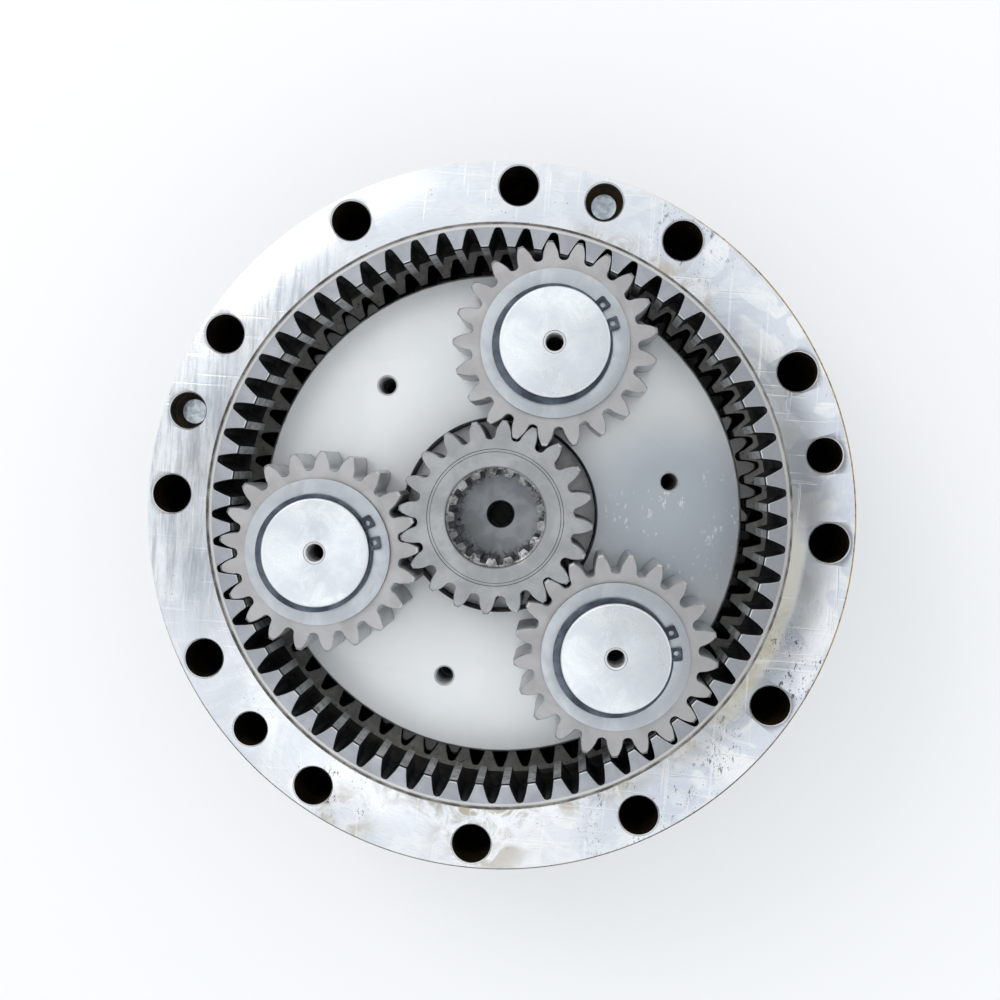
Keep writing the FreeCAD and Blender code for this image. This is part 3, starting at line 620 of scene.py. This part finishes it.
MATERIALS = {
    "flange": make_ground_flange(),
    "outer_edge": make_outer_edge(),
    "rim": make_machined("bright_rim", (0.80, 0.80, 0.80), (0.66, 0.66, 0.66), 0.34),
    "ring_side": make_machined("ring_side", (0.58, 0.59, 0.60), (0.42, 0.43, 0.44), 0.42),
    "ring_teeth": make_ring_face(),
    # painted shade: the ring's tooth flanks are painted near black for the shade deep between the teeth
    "ring_flank": make_painted_shade("ring_flanks_painted_shade", (0.012, 0.012, 0.014), 0.6),
    "ring_tip": make_speckled("ring_tips", (0.44, 0.44, 0.44), (0.20, 0.20, 0.20), 0.42, metallic=0.3),
    "tip_edge": make_machined("ring_tip_edges", (0.80, 0.81, 0.82), (0.56, 0.57, 0.58), 0.4, 120.0,
                              metallic=0.3),
    "step": make_machined("pilot_step", (0.40, 0.38, 0.36), (0.14, 0.13, 0.12), 0.45, 120.0),
    "lower_band": make_speckled("lower_band_ends", (0.66, 0.65, 0.62), (0.46, 0.45, 0.43), 0.5,
                                density=0.3, metallic=0.25),
    # painted shade: the wall of the groove between the tooth bands is painted dark for the shade under the
    # upper teeth
    "groove": make_machined("groove_wall_painted_shade", (0.16, 0.15, 0.14), (0.06, 0.06, 0.06), 0.5),
    # painted shade: the walls of the bolt, dowel and jacking holes are painted near black for the shade
    # inside them, with a brown oil film
    "hole": make_painted_shade("hole_walls_painted_shade", (0.012, 0.010, 0.008), 0.5, (0.060, 0.040, 0.018)),
    "hole_floor": make_hole_floor(),
    "carrier": make_carrier_plate(),
    "carrier_edge": make_machined("carrier_edge", (0.70, 0.70, 0.66), (0.52, 0.52, 0.50), 0.4),
    "worn_edge": make_machined("worn_edge", (0.84, 0.85, 0.85), (0.66, 0.67, 0.68), 0.4, 90.0,
                               metallic=0.3),
    # painted shade: the wall of the first carrier's recess is painted dark for the shade inside it
    "recess": make_machined("recess_wall_painted_shade", (0.20, 0.20, 0.21), (0.07, 0.07, 0.08), 0.45),
    "planet_face": make_machined("planet_faces", (0.52, 0.51, 0.51), (0.43, 0.42, 0.42), 0.42, 55.0),
    "planet_flank": make_flank("planet_flanks_painted_shade", (0.58, 0.59, 0.60), (0.10, 0.10, 0.11), 4.5, 0.5, 0.42),
    "sun_face": make_machined("sun_faces", (0.47, 0.48, 0.48), (0.36, 0.37, 0.38), 0.42, 70.0, 0.3),
    "sun_flank": make_flank("sun_flanks_painted_shade", (0.46, 0.46, 0.46), (0.03, 0.03, 0.03), 41, 22, 0.42),
    "washer": make_turned("ground_washer", (0.60, 0.63, 0.66), (0.48, 0.51, 0.54), 0.34, 0.3, 0.15),
    # painted shade: near-black side walls of the washers and thrust plate, walls of the sun's face groove
    # and the rim of each pin's countersink, for the thin shadow lines there
    "painted_edge_shade": make_painted_shade("painted_edge_shade", (0.015, 0.015, 0.016), 0.5),
    "pin": make_turned("turned_pin", (0.94, 0.97, 0.98), (0.78, 0.82, 0.86), 0.27, 0.8),
    # painted shade: the side wall of each pin, seen above its washer, is painted dark for the shade on it
    "pin_wall_painted_shade": make_machined("pin_wall_painted_shade", (0.30, 0.31, 0.33), (0.14, 0.15, 0.16), 0.4),
    "snap": make_machined("blued_snap_ring", (0.13, 0.155, 0.19), (0.05, 0.06, 0.08), 0.3, 90.0),
    # painted shade: the retaining rings' side walls and lug holes are painted darker than their blued
    # faces for the shade on them
    "snap_painted_edge_shade": make_painted_shade("snap_ring_edge_painted_shade", (0.03, 0.035, 0.04), 0.45),
    "bearing": make_machined("bearing_steel", (0.66, 0.67, 0.68), (0.52, 0.53, 0.54), 0.3),
    "sun_bore": make_speckled("sun_bore", (0.42, 0.43, 0.42), (0.16, 0.16, 0.16), 0.45, 0.9),
    "thrust_plate": make_thrust_plate(),
    # painted shade: the thrust plate's flared centre hole is painted near black for the shade inside it
    "plate_hole_painted_shade": make_painted_shade("plate_hole_painted_shade", (0.035, 0.035, 0.035), 0.4),
    "thread": make_speckled("thread_walls", (0.56, 0.56, 0.57), (0.30, 0.30, 0.31), 0.4, metallic=0.2),
}


def pick(*names):
    return [MATERIALS[name] for name in names]


# ---------------------------------------------------------------- how the teeth line up

def planet_tooth_turn(planet_angle):
    pitch = 360 / TEETH["ring"]
    gap = (RING_TOOTH_TURN - planet_angle + pitch / 2) % pitch - pitch / 2
    return planet_angle + gap * TEETH["ring"] / TEETH["planet"]


def sun_tooth_turn(planet_angle):
    share = (planet_angle + 180 - planet_tooth_turn(planet_angle)) * TEETH["planet"] / 360
    return planet_angle + (share % 1 + 0.5) * 360 / TEETH["sun"]


def on_circle(angle, radius, height=0.0):
    return (radius * math.cos(math.radians(angle)), radius * math.sin(math.radians(angle)), height)


# ---------------------------------------------------------------- ring gear

def tooth_band(outline, low, high, side):
    """Loops of one band of internal teeth, from its top edge down to its bottom edge."""
    face, edge, flank = side
    small, tip = 0.35, TIP["ring"]
    return [
        (capped(inset(outline, -small), low=tip + 1.0), high, edge),
        (capped(inset(outline, -small * 0.3), low=tip + 0.6), high - small, flank),
        (outline, high - 1.0, flank),
        (outline, low + 1.0, flank),
        (capped(inset(outline, -small * 0.3), low=tip + 0.6), low + small, edge),
        (capped(inset(outline, -small), low=tip + 1.0), low, face),
    ]


def paint_tips(piece, radius, flank, tip):
    """Give the flank faces that lie on the tip radius a material of their own."""
    for face in piece.data.polygons:
        middle = face.center
        if face.material_index == flank and abs(math.hypot(middle.x, middle.y) / MM - radius) < 0.12:
            face.material_index = tip


def hole_cutter(angle, radius, floor, flare=0.6, distance=BOLT_CIRCLE, top=RING_HEIGHT, slope=0.0):
    """A round cutter with flared ends; a raised floor makes a blind hole with a sloped rim."""
    through = floor <= 0
    bottom = -1.0 if through else floor
    profile = [(0.01, top + 1), (radius + flare + 0.3, top + 1), (radius + flare, top),
               (radius, top - flare)]
    if through:
        profile += [(radius, flare), (radius + flare, 0), (radius + flare + 0.3, -1)]
    else:
        profile += [(radius, floor + slope), (radius - slope, floor)]
    profile += [(0.01, bottom)]
    wall = [1, 1, 0, 0] + [0] * (len(profile) - 4)
    if not through:
        wall[-2] = 2
    loops = [(r, h, kind, 0) for (r, h), kind in zip(profile, wall)]
    loops[2] = (*loops[2][:2], 1, 0.4)
    return lathe("cutter", loops, pick("hole", "rim", "hole_floor"), on_circle(angle, distance), 0.2, 72)


def make_ring():
    """The flanged ring with both tooth bands, its groove, pilot step, bolt, dowel and jacking holes."""
    teeth = gear_outline("ring", RING_TOOTH_TURN)
    angles = teeth[:, 0]
    top = RING_HEIGHT
    groove_radius, groove_low, groove_high = GROOVE
    bore_radius, bore_depth = LOWER_BORE
    names = ("ring_side", "flange", "outer_edge", "ring_teeth", "ring_flank", "ring_tip", "tip_edge",
             "step", "lower_band", "groove")
    (side, flange, outer_edge, tooth_end, flank, tip, tip_edge, step, lower_band,
     groove) = range(len(names))

    def circle(radius, height, kind):
        return circle_outline(angles, radius), height, kind

    outside = [(RING_OUTER - 0.9, 0, side), (RING_OUTER, 0.9, side), (RING_OUTER, top - 0.8, outer_edge),
               (RING_OUTER - 0.25, top - 0.25, outer_edge), (RING_OUTER - 0.8, top, flange)]
    pilot = [(PILOT_RADIUS + 0.3, top, step), (PILOT_RADIUS, top - 0.3, step),
             (PILOT_RADIUS - 0.05, top - PILOT_DEPTH + 0.35, step),
             (PILOT_RADIUS - 0.4, top - PILOT_DEPTH, tooth_end)]
    loops = [circle(*item) for item in outside + pilot]
    loops += tooth_band(teeth, groove_high, top - PILOT_DEPTH, (lower_band, tip_edge, flank))
    loops += [circle(groove_radius, groove_high, groove), circle(groove_radius, groove_low, lower_band)]
    loops += tooth_band(teeth, bore_depth, groove_low, (lower_band, lower_band, flank))
    loops += [circle(bore_radius, bore_depth, side), circle(bore_radius, 0.9, side),
              circle(bore_radius + 0.9, 0, side)]
    ring = loft("ring_gear_piece", loops, pick(*names))
    paint_tips(ring, TIP["ring"], flank, tip)
    cutters = [hole_cutter(30 * index, BOLT_RADIUS, 0) for index in range(12)]
    cutters += [hole_cutter(angle, DOWEL_RADIUS, 0) for angle in (15, 225)]
    cutters += [hole_cutter(angle, JACK_RADIUS, top - JACK_DEPTH, slope=2.8) for angle in (75, 165)]
    cut(ring, cutters)
    return finish_piece(ring, "ring", "ring_gear")


# ---------------------------------------------------------------- gears

def outer_band(outline, kind, low, high, face=0, edge=1, flank=2):
    """Loops of an external gear's teeth, from the lower face up to the upper face."""
    small, tip = 0.35, TIP[kind]
    return [
        (capped(inset(outline, small), high=tip - 1.0), low, edge),
        (capped(inset(outline, small * 0.3), high=tip - 0.6), low + small, flank),
        (outline, low + 1.0, flank),
        (outline, high - 1.0, flank),
        (capped(inset(outline, small * 0.3), high=tip - 0.6), high - small, edge),
        (capped(inset(outline, small), high=tip - 1.0), high, face),
    ]


def make_planet(stage, letter, angle):
    """One planet gear about its own axis, with a chamfered plain bore."""
    node = f"planet_gear_{stage}_{letter}"
    low, high = node_levels(node)
    height = high - low
    teeth = gear_outline("planet", planet_tooth_turn(angle) + 180 / TEETH["planet"])
    angles = teeth[:, 0]
    bore = [(PLANET_BORE + 0.9, height, 3), (PLANET_BORE + 0.6, height - 0.2, 3),
            (PLANET_BORE, height - 0.9, 3), (PLANET_BORE, 0.9, 3), (PLANET_BORE + 0.6, 0.2, 3),
            (PLANET_BORE + 0.9, 0, 0)]
    loops = outer_band(teeth, "planet", 0, height)
    loops += [(circle_outline(angles, r), h, kind) for r, h, kind in bore]
    planet = loft(f"{node}_piece", loops, pick("planet_face", "rim", "planet_flank", "bearing"),
                  on_circle(angle, CENTRE_DISTANCE, low))
    return finish_piece(planet, f"planet_{stage}_{letter}", node)


def make_sun_1():
    """First sun: face groove, bore mouth and a 17-tooth internal spline."""
    low, high = node_levels("sun_gear_1")
    height = high - low
    turn = sun_tooth_turn(STAGE_TURN[1])
    teeth = gear_outline("sun", turn + 180 / TEETH["sun"], 5, 4, 3)
    angles = teeth[:, 0]
    spline_teeth, minor, major = INPUT_SPLINE
    spline = spline_outline(spline_teeth, minor, major, turn, len(teeth) // spline_teeth)
    pitch = 2 * math.pi / spline_teeth
    spline[:, 0] += round((angles[0] - spline[0, 0]) / pitch) * pitch
    even = spline[:, 0]
    mouth = height - SUN_MOUTH
    end_radius = major + 0.3
    groove = height - 0.3
    # the walls of the face groove carry painted shade
    face = [(31.65, height, 4), (31.4, groove, 0), (30.35, groove, 4), (30.1, height, 0)]
    bore = [(SUN_BORE + 0.9, height, 0), (SUN_BORE + 0.5, height - 0.25, 0), (SUN_BORE, height - 0.9, 3),
            (SUN_BORE, mouth, 3), (end_radius, mouth - 0.5, 3)]
    foot = [(SUN_BORE, 4.9, 3), (SUN_BORE, 0.8, 1), (SUN_BORE + 0.8, 0, 0)]
    loops = outer_band(teeth, "sun", 0, height)
    loops += [(circle_outline(angles, r), h, kind) for r, h, kind in face]
    loops += [(circle_outline(even, r), h, kind) for r, h, kind in bore]
    loops += [(spline, mouth - 1.2, 3), (spline, SUN_MOUTH + 0.5, 3)]
    loops += [(circle_outline(even, r), h, kind) for r, h, kind in [(end_radius, SUN_MOUTH, 3), *foot]]
    sun = loft("sun_gear_1_piece", loops, pick("sun_face", "rim", "sun_flank", "sun_bore", "painted_edge_shade"),
               (0, 0, low))
    return finish_piece(sun, "sun_1", "sun_gear_1")


def make_sun_2():
    """Second sun: a long pinion with a plain bore."""
    low, high = node_levels("sun_gear_2")
    height = high - low
    teeth = gear_outline("sun", sun_tooth_turn(STAGE_TURN[2]) + 180 / TEETH["sun"])
    bore = [(SUN_TWO_BORE + 0.9, height, 1), (SUN_TWO_BORE, height - 0.9, 2), (SUN_TWO_BORE, 0.9, 1),
            (SUN_TWO_BORE + 0.9, 0, 0)]
    loops = outer_band(teeth, "sun", 0, height)
    loops += [(circle_outline(teeth[:, 0], r), h, kind) for r, h, kind in bore]
    sun = loft("sun_gear_2_piece", loops, pick("sun_face", "rim", "planet_flank"), (0, 0, low))
    return finish_piece(sun, "carrier_1", "sun_gear_2")


# ---------------------------------------------------------------- carriers

def tapped_cutter(angle, height, crest, root, pitch):
    """A tapped through hole: countersunk mouths and thread grooves."""
    top = height
    profile = [(0.01, top + 1, 0, 0), (root + 0.9, top + 1, 0, 0), (root + 0.15, top, 1, 0),
               (crest, top - 0.9, 0, 0)]
    turns = int((height - 3) / pitch)
    for turn in range(turns):
        level = top - 1.2 - turn * pitch
        profile += [(crest, level, 0, 0), (root, level - pitch * 0.5, 0, 0)]
    profile += [(crest, 0.9, 1, 0), (root + 0.15, 0, 0, 0), (root + 0.9, -1, 0, 0), (0.01, -1, 0, 0)]
    return lathe("cutter", profile, pick("thread", "worn_edge"), on_circle(angle, CENTRE_DISTANCE), 0, 48)


def pin_cutter(angle, height):
    """A plain cutter for a pin's hole, a hair wider than the pin."""
    radius = PIN_RADIUS + 0.02
    profile = [(0.01, height + 1, 0, 0), (radius, height + 1, 0, 0), (radius, -1, 0, 0), (0.01, -1, 0, 0)]
    return lathe("cutter", profile, pick("ring_side"), on_circle(angle, CENTRE_DISTANCE), 0, 120)


def carrier_cutters(stage, height):
    """Cutters for a carrier's three pin holes and the tapped holes between them."""
    turns = [STAGE_TURN[stage] + 120 * index for index in range(3)]
    cutters = [pin_cutter(turn, height) for turn in turns]
    return cutters + [tapped_cutter(turn + 60, height, *TAPS[stage]) for turn in turns]


def carrier_rim(height, foot=0.0):
    """The rounded outer edge of a carrier plate, from its underside up to its top face."""
    radius, small = CARRIER_RADIUS, 0.35
    inner = radius - EDGE_BREAK
    return [(inner, foot, 0), (radius - 0.3, foot + small, 0), (radius, foot + EDGE_BREAK, 0),
            (radius, height - EDGE_BREAK, 1), (radius - 0.4, height - small, 1), (inner, height, 0)]


def lower_to(piece, low):
    """Set a piece built from height nought on its level."""
    piece.location.z = low * MM


def make_carrier_1():
    """First carrier: recessed plate with pin holes, tapped holes and a toothed bore."""
    low, high = node_levels("carrier_1")
    height = high - low
    recess_radius, recess_depth = CARRIER_RECESS
    recess = height - recess_depth
    teeth = gear_outline("sun", sun_tooth_turn(STAGE_TURN[2]) + 180 / TEETH["sun"])
    bore = capped(inset(teeth, -0.13), low=CARRIER_BORE)
    angles = teeth[:, 0]
    plate = carrier_rim(height)
    plate += [(recess_radius + 0.9, height, 2), (recess_radius + 0.2, height - 0.25, 2),
              (recess_radius, height - 0.9, 2), (recess_radius, recess + 0.4, 2),
              (recess_radius - 0.4, recess, 0)]
    loops = [(circle_outline(angles, r), h, kind) for r, h, kind in plate]
    loops += [(bore, recess, 0), (bore, 0, 0)]
    carrier = loft("carrier_1_piece", loops, pick("carrier", "carrier_edge", "recess"))
    cut(carrier, carrier_cutters(1, height))
    lower_to(carrier, low)
    return finish_piece(carrier, "carrier_1", "carrier_1")


def make_carrier_2():
    """Output carrier: plate with a raised hub and a 24-tooth splined bore."""
    low, high = node_levels("carrier_2")
    height = high - low
    spline_teeth, minor, major = OUTPUT_SPLINE
    spline = spline_outline(spline_teeth, minor, major, STAGE_TURN[2], 20)
    angles = spline[:, 0]
    mouth, throat = major + 1.2, major + 0.6
    plate = [(HUB_RADIUS - 0.3, 0, 0), (HUB_RADIUS, 0.4, 0), (HUB_RADIUS, HUB_HEIGHT, 0)]
    plate += carrier_rim(height, HUB_HEIGHT)
    plate += [(mouth, height, 1), (throat, height - 0.6, 0)]
    loops = [(circle_outline(angles, r), h, kind) for r, h, kind in plate]
    loops += [(spline, height - 1.2, 0), (spline, 1.2, 0), (circle_outline(angles, throat), 0.6, 1),
              (circle_outline(angles, mouth), 0, 0)]
    carrier = loft("carrier_2_piece", loops, pick("carrier", "carrier_edge"))
    cut(carrier, carrier_cutters(2, height))
    lower_to(carrier, low)
    return finish_piece(carrier, "carrier_2", "carrier_2")


# ---------------------------------------------------------------- pins, washers, retaining rings

def make_disc(node, body, inner, outer, face="washer", centre=(0, 0), flare=0.0):
    """A flat ground washer with softly rounded edges; its side walls, and a flared hole's walls, are
    darkened as painted shade.
    """
    low, high = node_levels(node)
    top = high - low
    profile = [(inner, 0, 0), (outer, 0, 1), (outer, top, 0)]
    if flare:
        profile += [(inner + flare, top, 2), (inner, top - flare, 2)]
    else:
        profile += [(inner, top, 1)]
    materials = pick(face, "painted_edge_shade", "plate_hole_painted_shade")
    piece = lathe(f"{node}_piece", profile, materials, (*centre, low), 0.2, 192)
    return finish_piece(piece, body, node)


def make_pin(stage, letter, angle):
    """A planet pin: retaining-ring groove, chamfered ends and a tapped, countersunk hole."""
    node = f"planet_pin_{stage}_{letter}"
    low, high = node_levels(node)
    length = high - low
    groove = node_levels(f"snap_ring_{stage}_{letter}")[0] - low
    groove_radius, groove_width = PIN_GROOVE
    # the pin's side wall and the rim of its countersink carry painted shade
    names = ("pin", "carrier_edge", "pin_wall_painted_shade", "thread", "worn_edge", "painted_edge_shade")
    face, foot, wall, thread, worn, line = range(len(names))
    profile = [(PIN_HOLE, 0, face, 0.1), (PIN_RADIUS - 0.6, 0, foot, 0.2), (PIN_RADIUS, 0.6, wall, 0.3),
               (PIN_RADIUS, groove, wall, 0.1), (groove_radius, groove, wall, 0.1),
               (groove_radius, groove + groove_width, wall, 0.1),
               (PIN_RADIUS, groove + groove_width, wall, 0.1), (PIN_RADIUS, length - 0.6, worn, 0.2),
               (PIN_RADIUS - 0.6, length, face, 0.15), (PIN_MOUTH + 0.2, length, line, 0),
               (PIN_MOUTH, length - 0.15, worn, 0), (PIN_HOLE + 0.1, length - 0.9, thread, 0.1)]
    for turn in range(14):
        level = length - 1.4 - turn * PIN_PITCH
        profile += [(PIN_HOLE, level, thread, 0), (PIN_HOLE, level - 0.2, thread, 0),
                    (PIN_HOLE + 0.6, level - PIN_PITCH * 0.6, thread, 0)]
    place = on_circle(angle, CENTRE_DISTANCE, low)
    piece = lathe(f"{node}_piece", profile, pick(*names), place, 0.2, 192)
    return finish_piece(piece, f"carrier_{stage}", node)


SNAP_INNER = PIN_GROOVE[0]
SNAP_OUTER = 27.3
SNAP_OFFSET = 1.25
LUG_RADIUS = 30.4
LUG_NEAR = math.radians(4.6)
LUG_FAR = math.radians(16.4)
LUG_HOLE = (27.4, math.radians(10), 1.3)


def snap_outline():
    """Closed outline of a retaining ring whose gap is centred on +X, and the circles of its lug holes."""
    def corner(radius, angle, rounding=0.0):
        return (radius * math.cos(angle), radius * math.sin(angle), 0, rounding)

    def outer_at(angle):
        across = SNAP_OFFSET * math.sin(angle)
        return math.sqrt(SNAP_OUTER ** 2 - across ** 2) - SNAP_OFFSET * math.cos(angle)

    corners = [corner(LUG_RADIUS, LUG_NEAR, 1.1), corner(LUG_RADIUS, LUG_FAR, 1.4)]
    root = LUG_FAR + math.radians(0.8)
    corners += [corner(outer_at(angle), angle) for angle in np.linspace(root, 2 * math.pi - root, 121)]
    corners += [corner(LUG_RADIUS, -LUG_FAR, 1.4), corner(LUG_RADIUS, -LUG_NEAR, 1.1)]
    corners += [corner(SNAP_INNER, angle) for angle in np.linspace(2 * math.pi - LUG_NEAR, LUG_NEAR, 121)]
    outline = [(x, y) for x, y, _ in rounded(corners, 0.0, 5)]
    distance, turn, radius = LUG_HOLE
    holes = []
    for side in (-1, 1):
        x, y = distance * math.cos(turn), side * distance * math.sin(turn)
        holes.append([(x + radius * math.cos(t), y + radius * math.sin(t))
                      for t in np.arange(24) * math.pi / 12])
    return [outline, *holes]


def make_snap_ring(stage, letter, angle, gap_turn):
    """An external retaining ring: a crescent that thins towards two drilled lugs, its edge walls darker
    than its faces as painted shade.
    """
    node = f"snap_ring_{stage}_{letter}"
    low, high = node_levels(node)
    curve = bpy.data.curves.new("shape", "CURVE")
    curve.dimensions = "2D"
    curve.fill_mode = "BOTH"
    edge = 0.15
    curve.extrude = ((high - low) / 2 - edge) * MM
    curve.bevel_depth = edge * MM
    curve.bevel_resolution = 2
    curve.offset = -edge * MM
    for points in snap_outline():
        add_loop(curve, points)
    shape = bpy.data.objects.new("shape", curve)
    scene.collection.objects.link(shape)
    mesh = bpy.data.meshes.new_from_object(shape.evaluated_get(bpy.context.evaluated_depsgraph_get()))
    bpy.data.objects.remove(shape)
    piece = bpy.data.objects.new(f"{node}_piece", mesh)
    scene.collection.objects.link(piece)
    work = bmesh.new()
    work.from_mesh(mesh)
    bmesh.ops.remove_doubles(work, verts=work.verts, dist=1e-6)
    work.to_mesh(mesh)
    work.free()
    mesh.materials.clear()
    for material in pick("snap", "snap_painted_edge_shade"):
        mesh.materials.append(material)
    # faces that look neither up nor down get the edge material, darkened as painted shade
    for face in mesh.polygons:
        face.use_smooth = True
        face.material_index = 0 if abs(face.normal.z) > 0.8 else 1
    mesh.set_sharp_from_angle(angle=math.radians(40))
    place = Vector(on_circle(angle, CENTRE_DISTANCE, (low + high) / 2)) * MM
    piece.matrix_world = Matrix.Translation(place) @ Matrix.Rotation(math.radians(gap_turn), 4, "Z")
    return finish_piece(piece, f"carrier_{stage}", node)


def add_loop(curve, points):
    spline = curve.splines.new("POLY")
    spline.points.add(len(points) - 1)
    for slot, (x, y) in zip(spline.points, points):
        slot.co = (x * MM, y * MM, 0, 1)
    spline.use_cyclic_u = True


def make_stage(stage):
    for index, letter in enumerate(LETTERS):
        angle = STAGE_TURN[stage] + 120 * index
        centre = on_circle(angle, CENTRE_DISTANCE)[:2]
        make_planet(stage, letter, angle)
        make_pin(stage, letter, angle)
        for side in ("upper", "lower"):
            make_disc(f"{side}_washer_{stage}_{letter}", f"carrier_{stage}", *WASHER, centre=centre)
        make_snap_ring(stage, letter, angle, SNAP_TURNS[stage][index])
        for family in ("needle_cage", "needle_rollers"):
            node = nodes[f"{family}_{stage}_{letter}"]
            node.data.materials.clear()
            node.data.materials.append(MATERIALS["bearing"])


make_ring()
make_carrier_1()
make_disc("sun_thrust_plate", "carrier_1", *THRUST_PLATE, "thrust_plate", flare=1.2)
make_sun_1()
make_sun_2()
make_carrier_2()
make_disc("sun_2_thrust_washer", "carrier_2", *THRUST_WASHER)
for stage_number in (1, 2):
    make_stage(stage_number)

# ---------------------------------------------------------------- floor, light and camera

FLANGE_TOP = RING_HEIGHT * MM
FRAME_TURN = math.radians(4.154)


def make_floor():
    mesh = bpy.data.meshes.new("floor")
    half = 6.0
    corners = [(-half, -half, 0), (half, -half, 0), (half, half, 0), (-half, half, 0)]
    mesh.from_pydata(corners, [], [(0, 1, 2, 3)])
    floor = bpy.data.objects.new("floor", mesh)
    scene.collection.objects.link(floor)
    material = bpy.data.materials.new("pale_floor")
    material.use_nodes = True
    shader = material.node_tree.nodes["Principled BSDF"]
    shader.inputs["Base Color"].default_value = (0.95, 0.95, 0.95, 1)
    shader.inputs["Roughness"].default_value = 0.9
    mesh.materials.append(material)
    floor.location.z = -0.0005


def add_area(name, location, size, power, colour, target=(0, 0, 0.1)):
    """A square soft box that faces the gear set."""
    lamp = bpy.data.lights.new(name, "AREA")
    lamp.shape = "SQUARE"
    lamp.size = size
    lamp.energy = power
    lamp.color = colour
    light = bpy.data.objects.new(name, lamp)
    scene.collection.objects.link(light)
    light.location = location
    light.rotation_euler = (Vector(target) - Vector(location)).to_track_quat("-Z", "Y").to_euler()


def make_camera():
    """Camera above the flange, slightly off the gear axis and tilted, as a hand-held shot."""
    data = bpy.data.cameras.new("camera")
    data.sensor_width = 36
    data.lens = 39.6
    data.clip_start = 0.01
    camera = bpy.data.objects.new("camera", data)
    scene.collection.objects.link(camera)
    tilt_x, tilt_y = 0.028118, -0.061450
    place = Vector((33.254, 22.294, 501.036)) * MM + Vector((0, 0, FLANGE_TOP))
    turn = Matrix.Rotation(-tilt_y, 4, "Y") @ Matrix.Rotation(-tilt_x, 4, "X")
    camera.matrix_world = Matrix.Rotation(FRAME_TURN, 4, "Z") @ Matrix.Translation(place) @ turn
    scene.camera = camera


SKY_LEVEL = 1.04
# each patch: direction round the gear axis, tilt from overhead, inner and outer radius in degrees, change
SKY_PATCHES = (
    (-12, 16, 5, 19, -0.80),
    (190, 24, 3, 13, -0.42),
    (238, 21, 4, 16, 0.25),
)


def make_world():
    """A white sky with soft darker and brighter patches, which the polished faces reflect."""
    world = bpy.data.worlds.new("studio")
    scene.world = world
    world.use_nodes = True
    tree = world.node_tree
    towards = tree.nodes.new("ShaderNodeTexCoord").outputs["Generated"]
    level = None
    for azimuth, tilt, inner, outer, change in SKY_PATCHES:
        turn = Matrix.Rotation(math.radians(azimuth), 3, "Z") @ Matrix.Rotation(math.radians(tilt), 3, "Y")
        dot = tree.nodes.new("ShaderNodeVectorMath")
        dot.operation = "DOT_PRODUCT"
        tree.links.new(towards, dot.inputs[0])
        dot.inputs[1].default_value = turn @ Vector((0, 0, 1))
        share = tree.nodes.new("ShaderNodeMapRange")
        share.interpolation_type = "SMOOTHSTEP"
        tree.links.new(dot.outputs["Value"], share.inputs["Value"])
        share.inputs["From Min"].default_value = math.cos(math.radians(outer))
        share.inputs["From Max"].default_value = math.cos(math.radians(inner))
        share.inputs["To Min"].default_value = 0.0
        share.inputs["To Max"].default_value = change
        total = tree.nodes.new("ShaderNodeMath")
        total.operation = "ADD"
        tree.links.new(share.outputs["Result"], total.inputs[0])
        if level is None:
            total.inputs[1].default_value = SKY_LEVEL
        else:
            tree.links.new(level, total.inputs[1])
        level = total.outputs[0]
    background = tree.nodes["Background"]
    background.inputs["Color"].default_value = (0.95, 0.975, 1.0, 1)
    tree.links.new(level, background.inputs["Strength"])


make_floor()
make_camera()
make_world()
add_area("key", (-1.0, 0.95, 1.35), 0.8, 5, (1.0, 0.98, 0.95))
scene.view_settings.view_transform = "Standard"
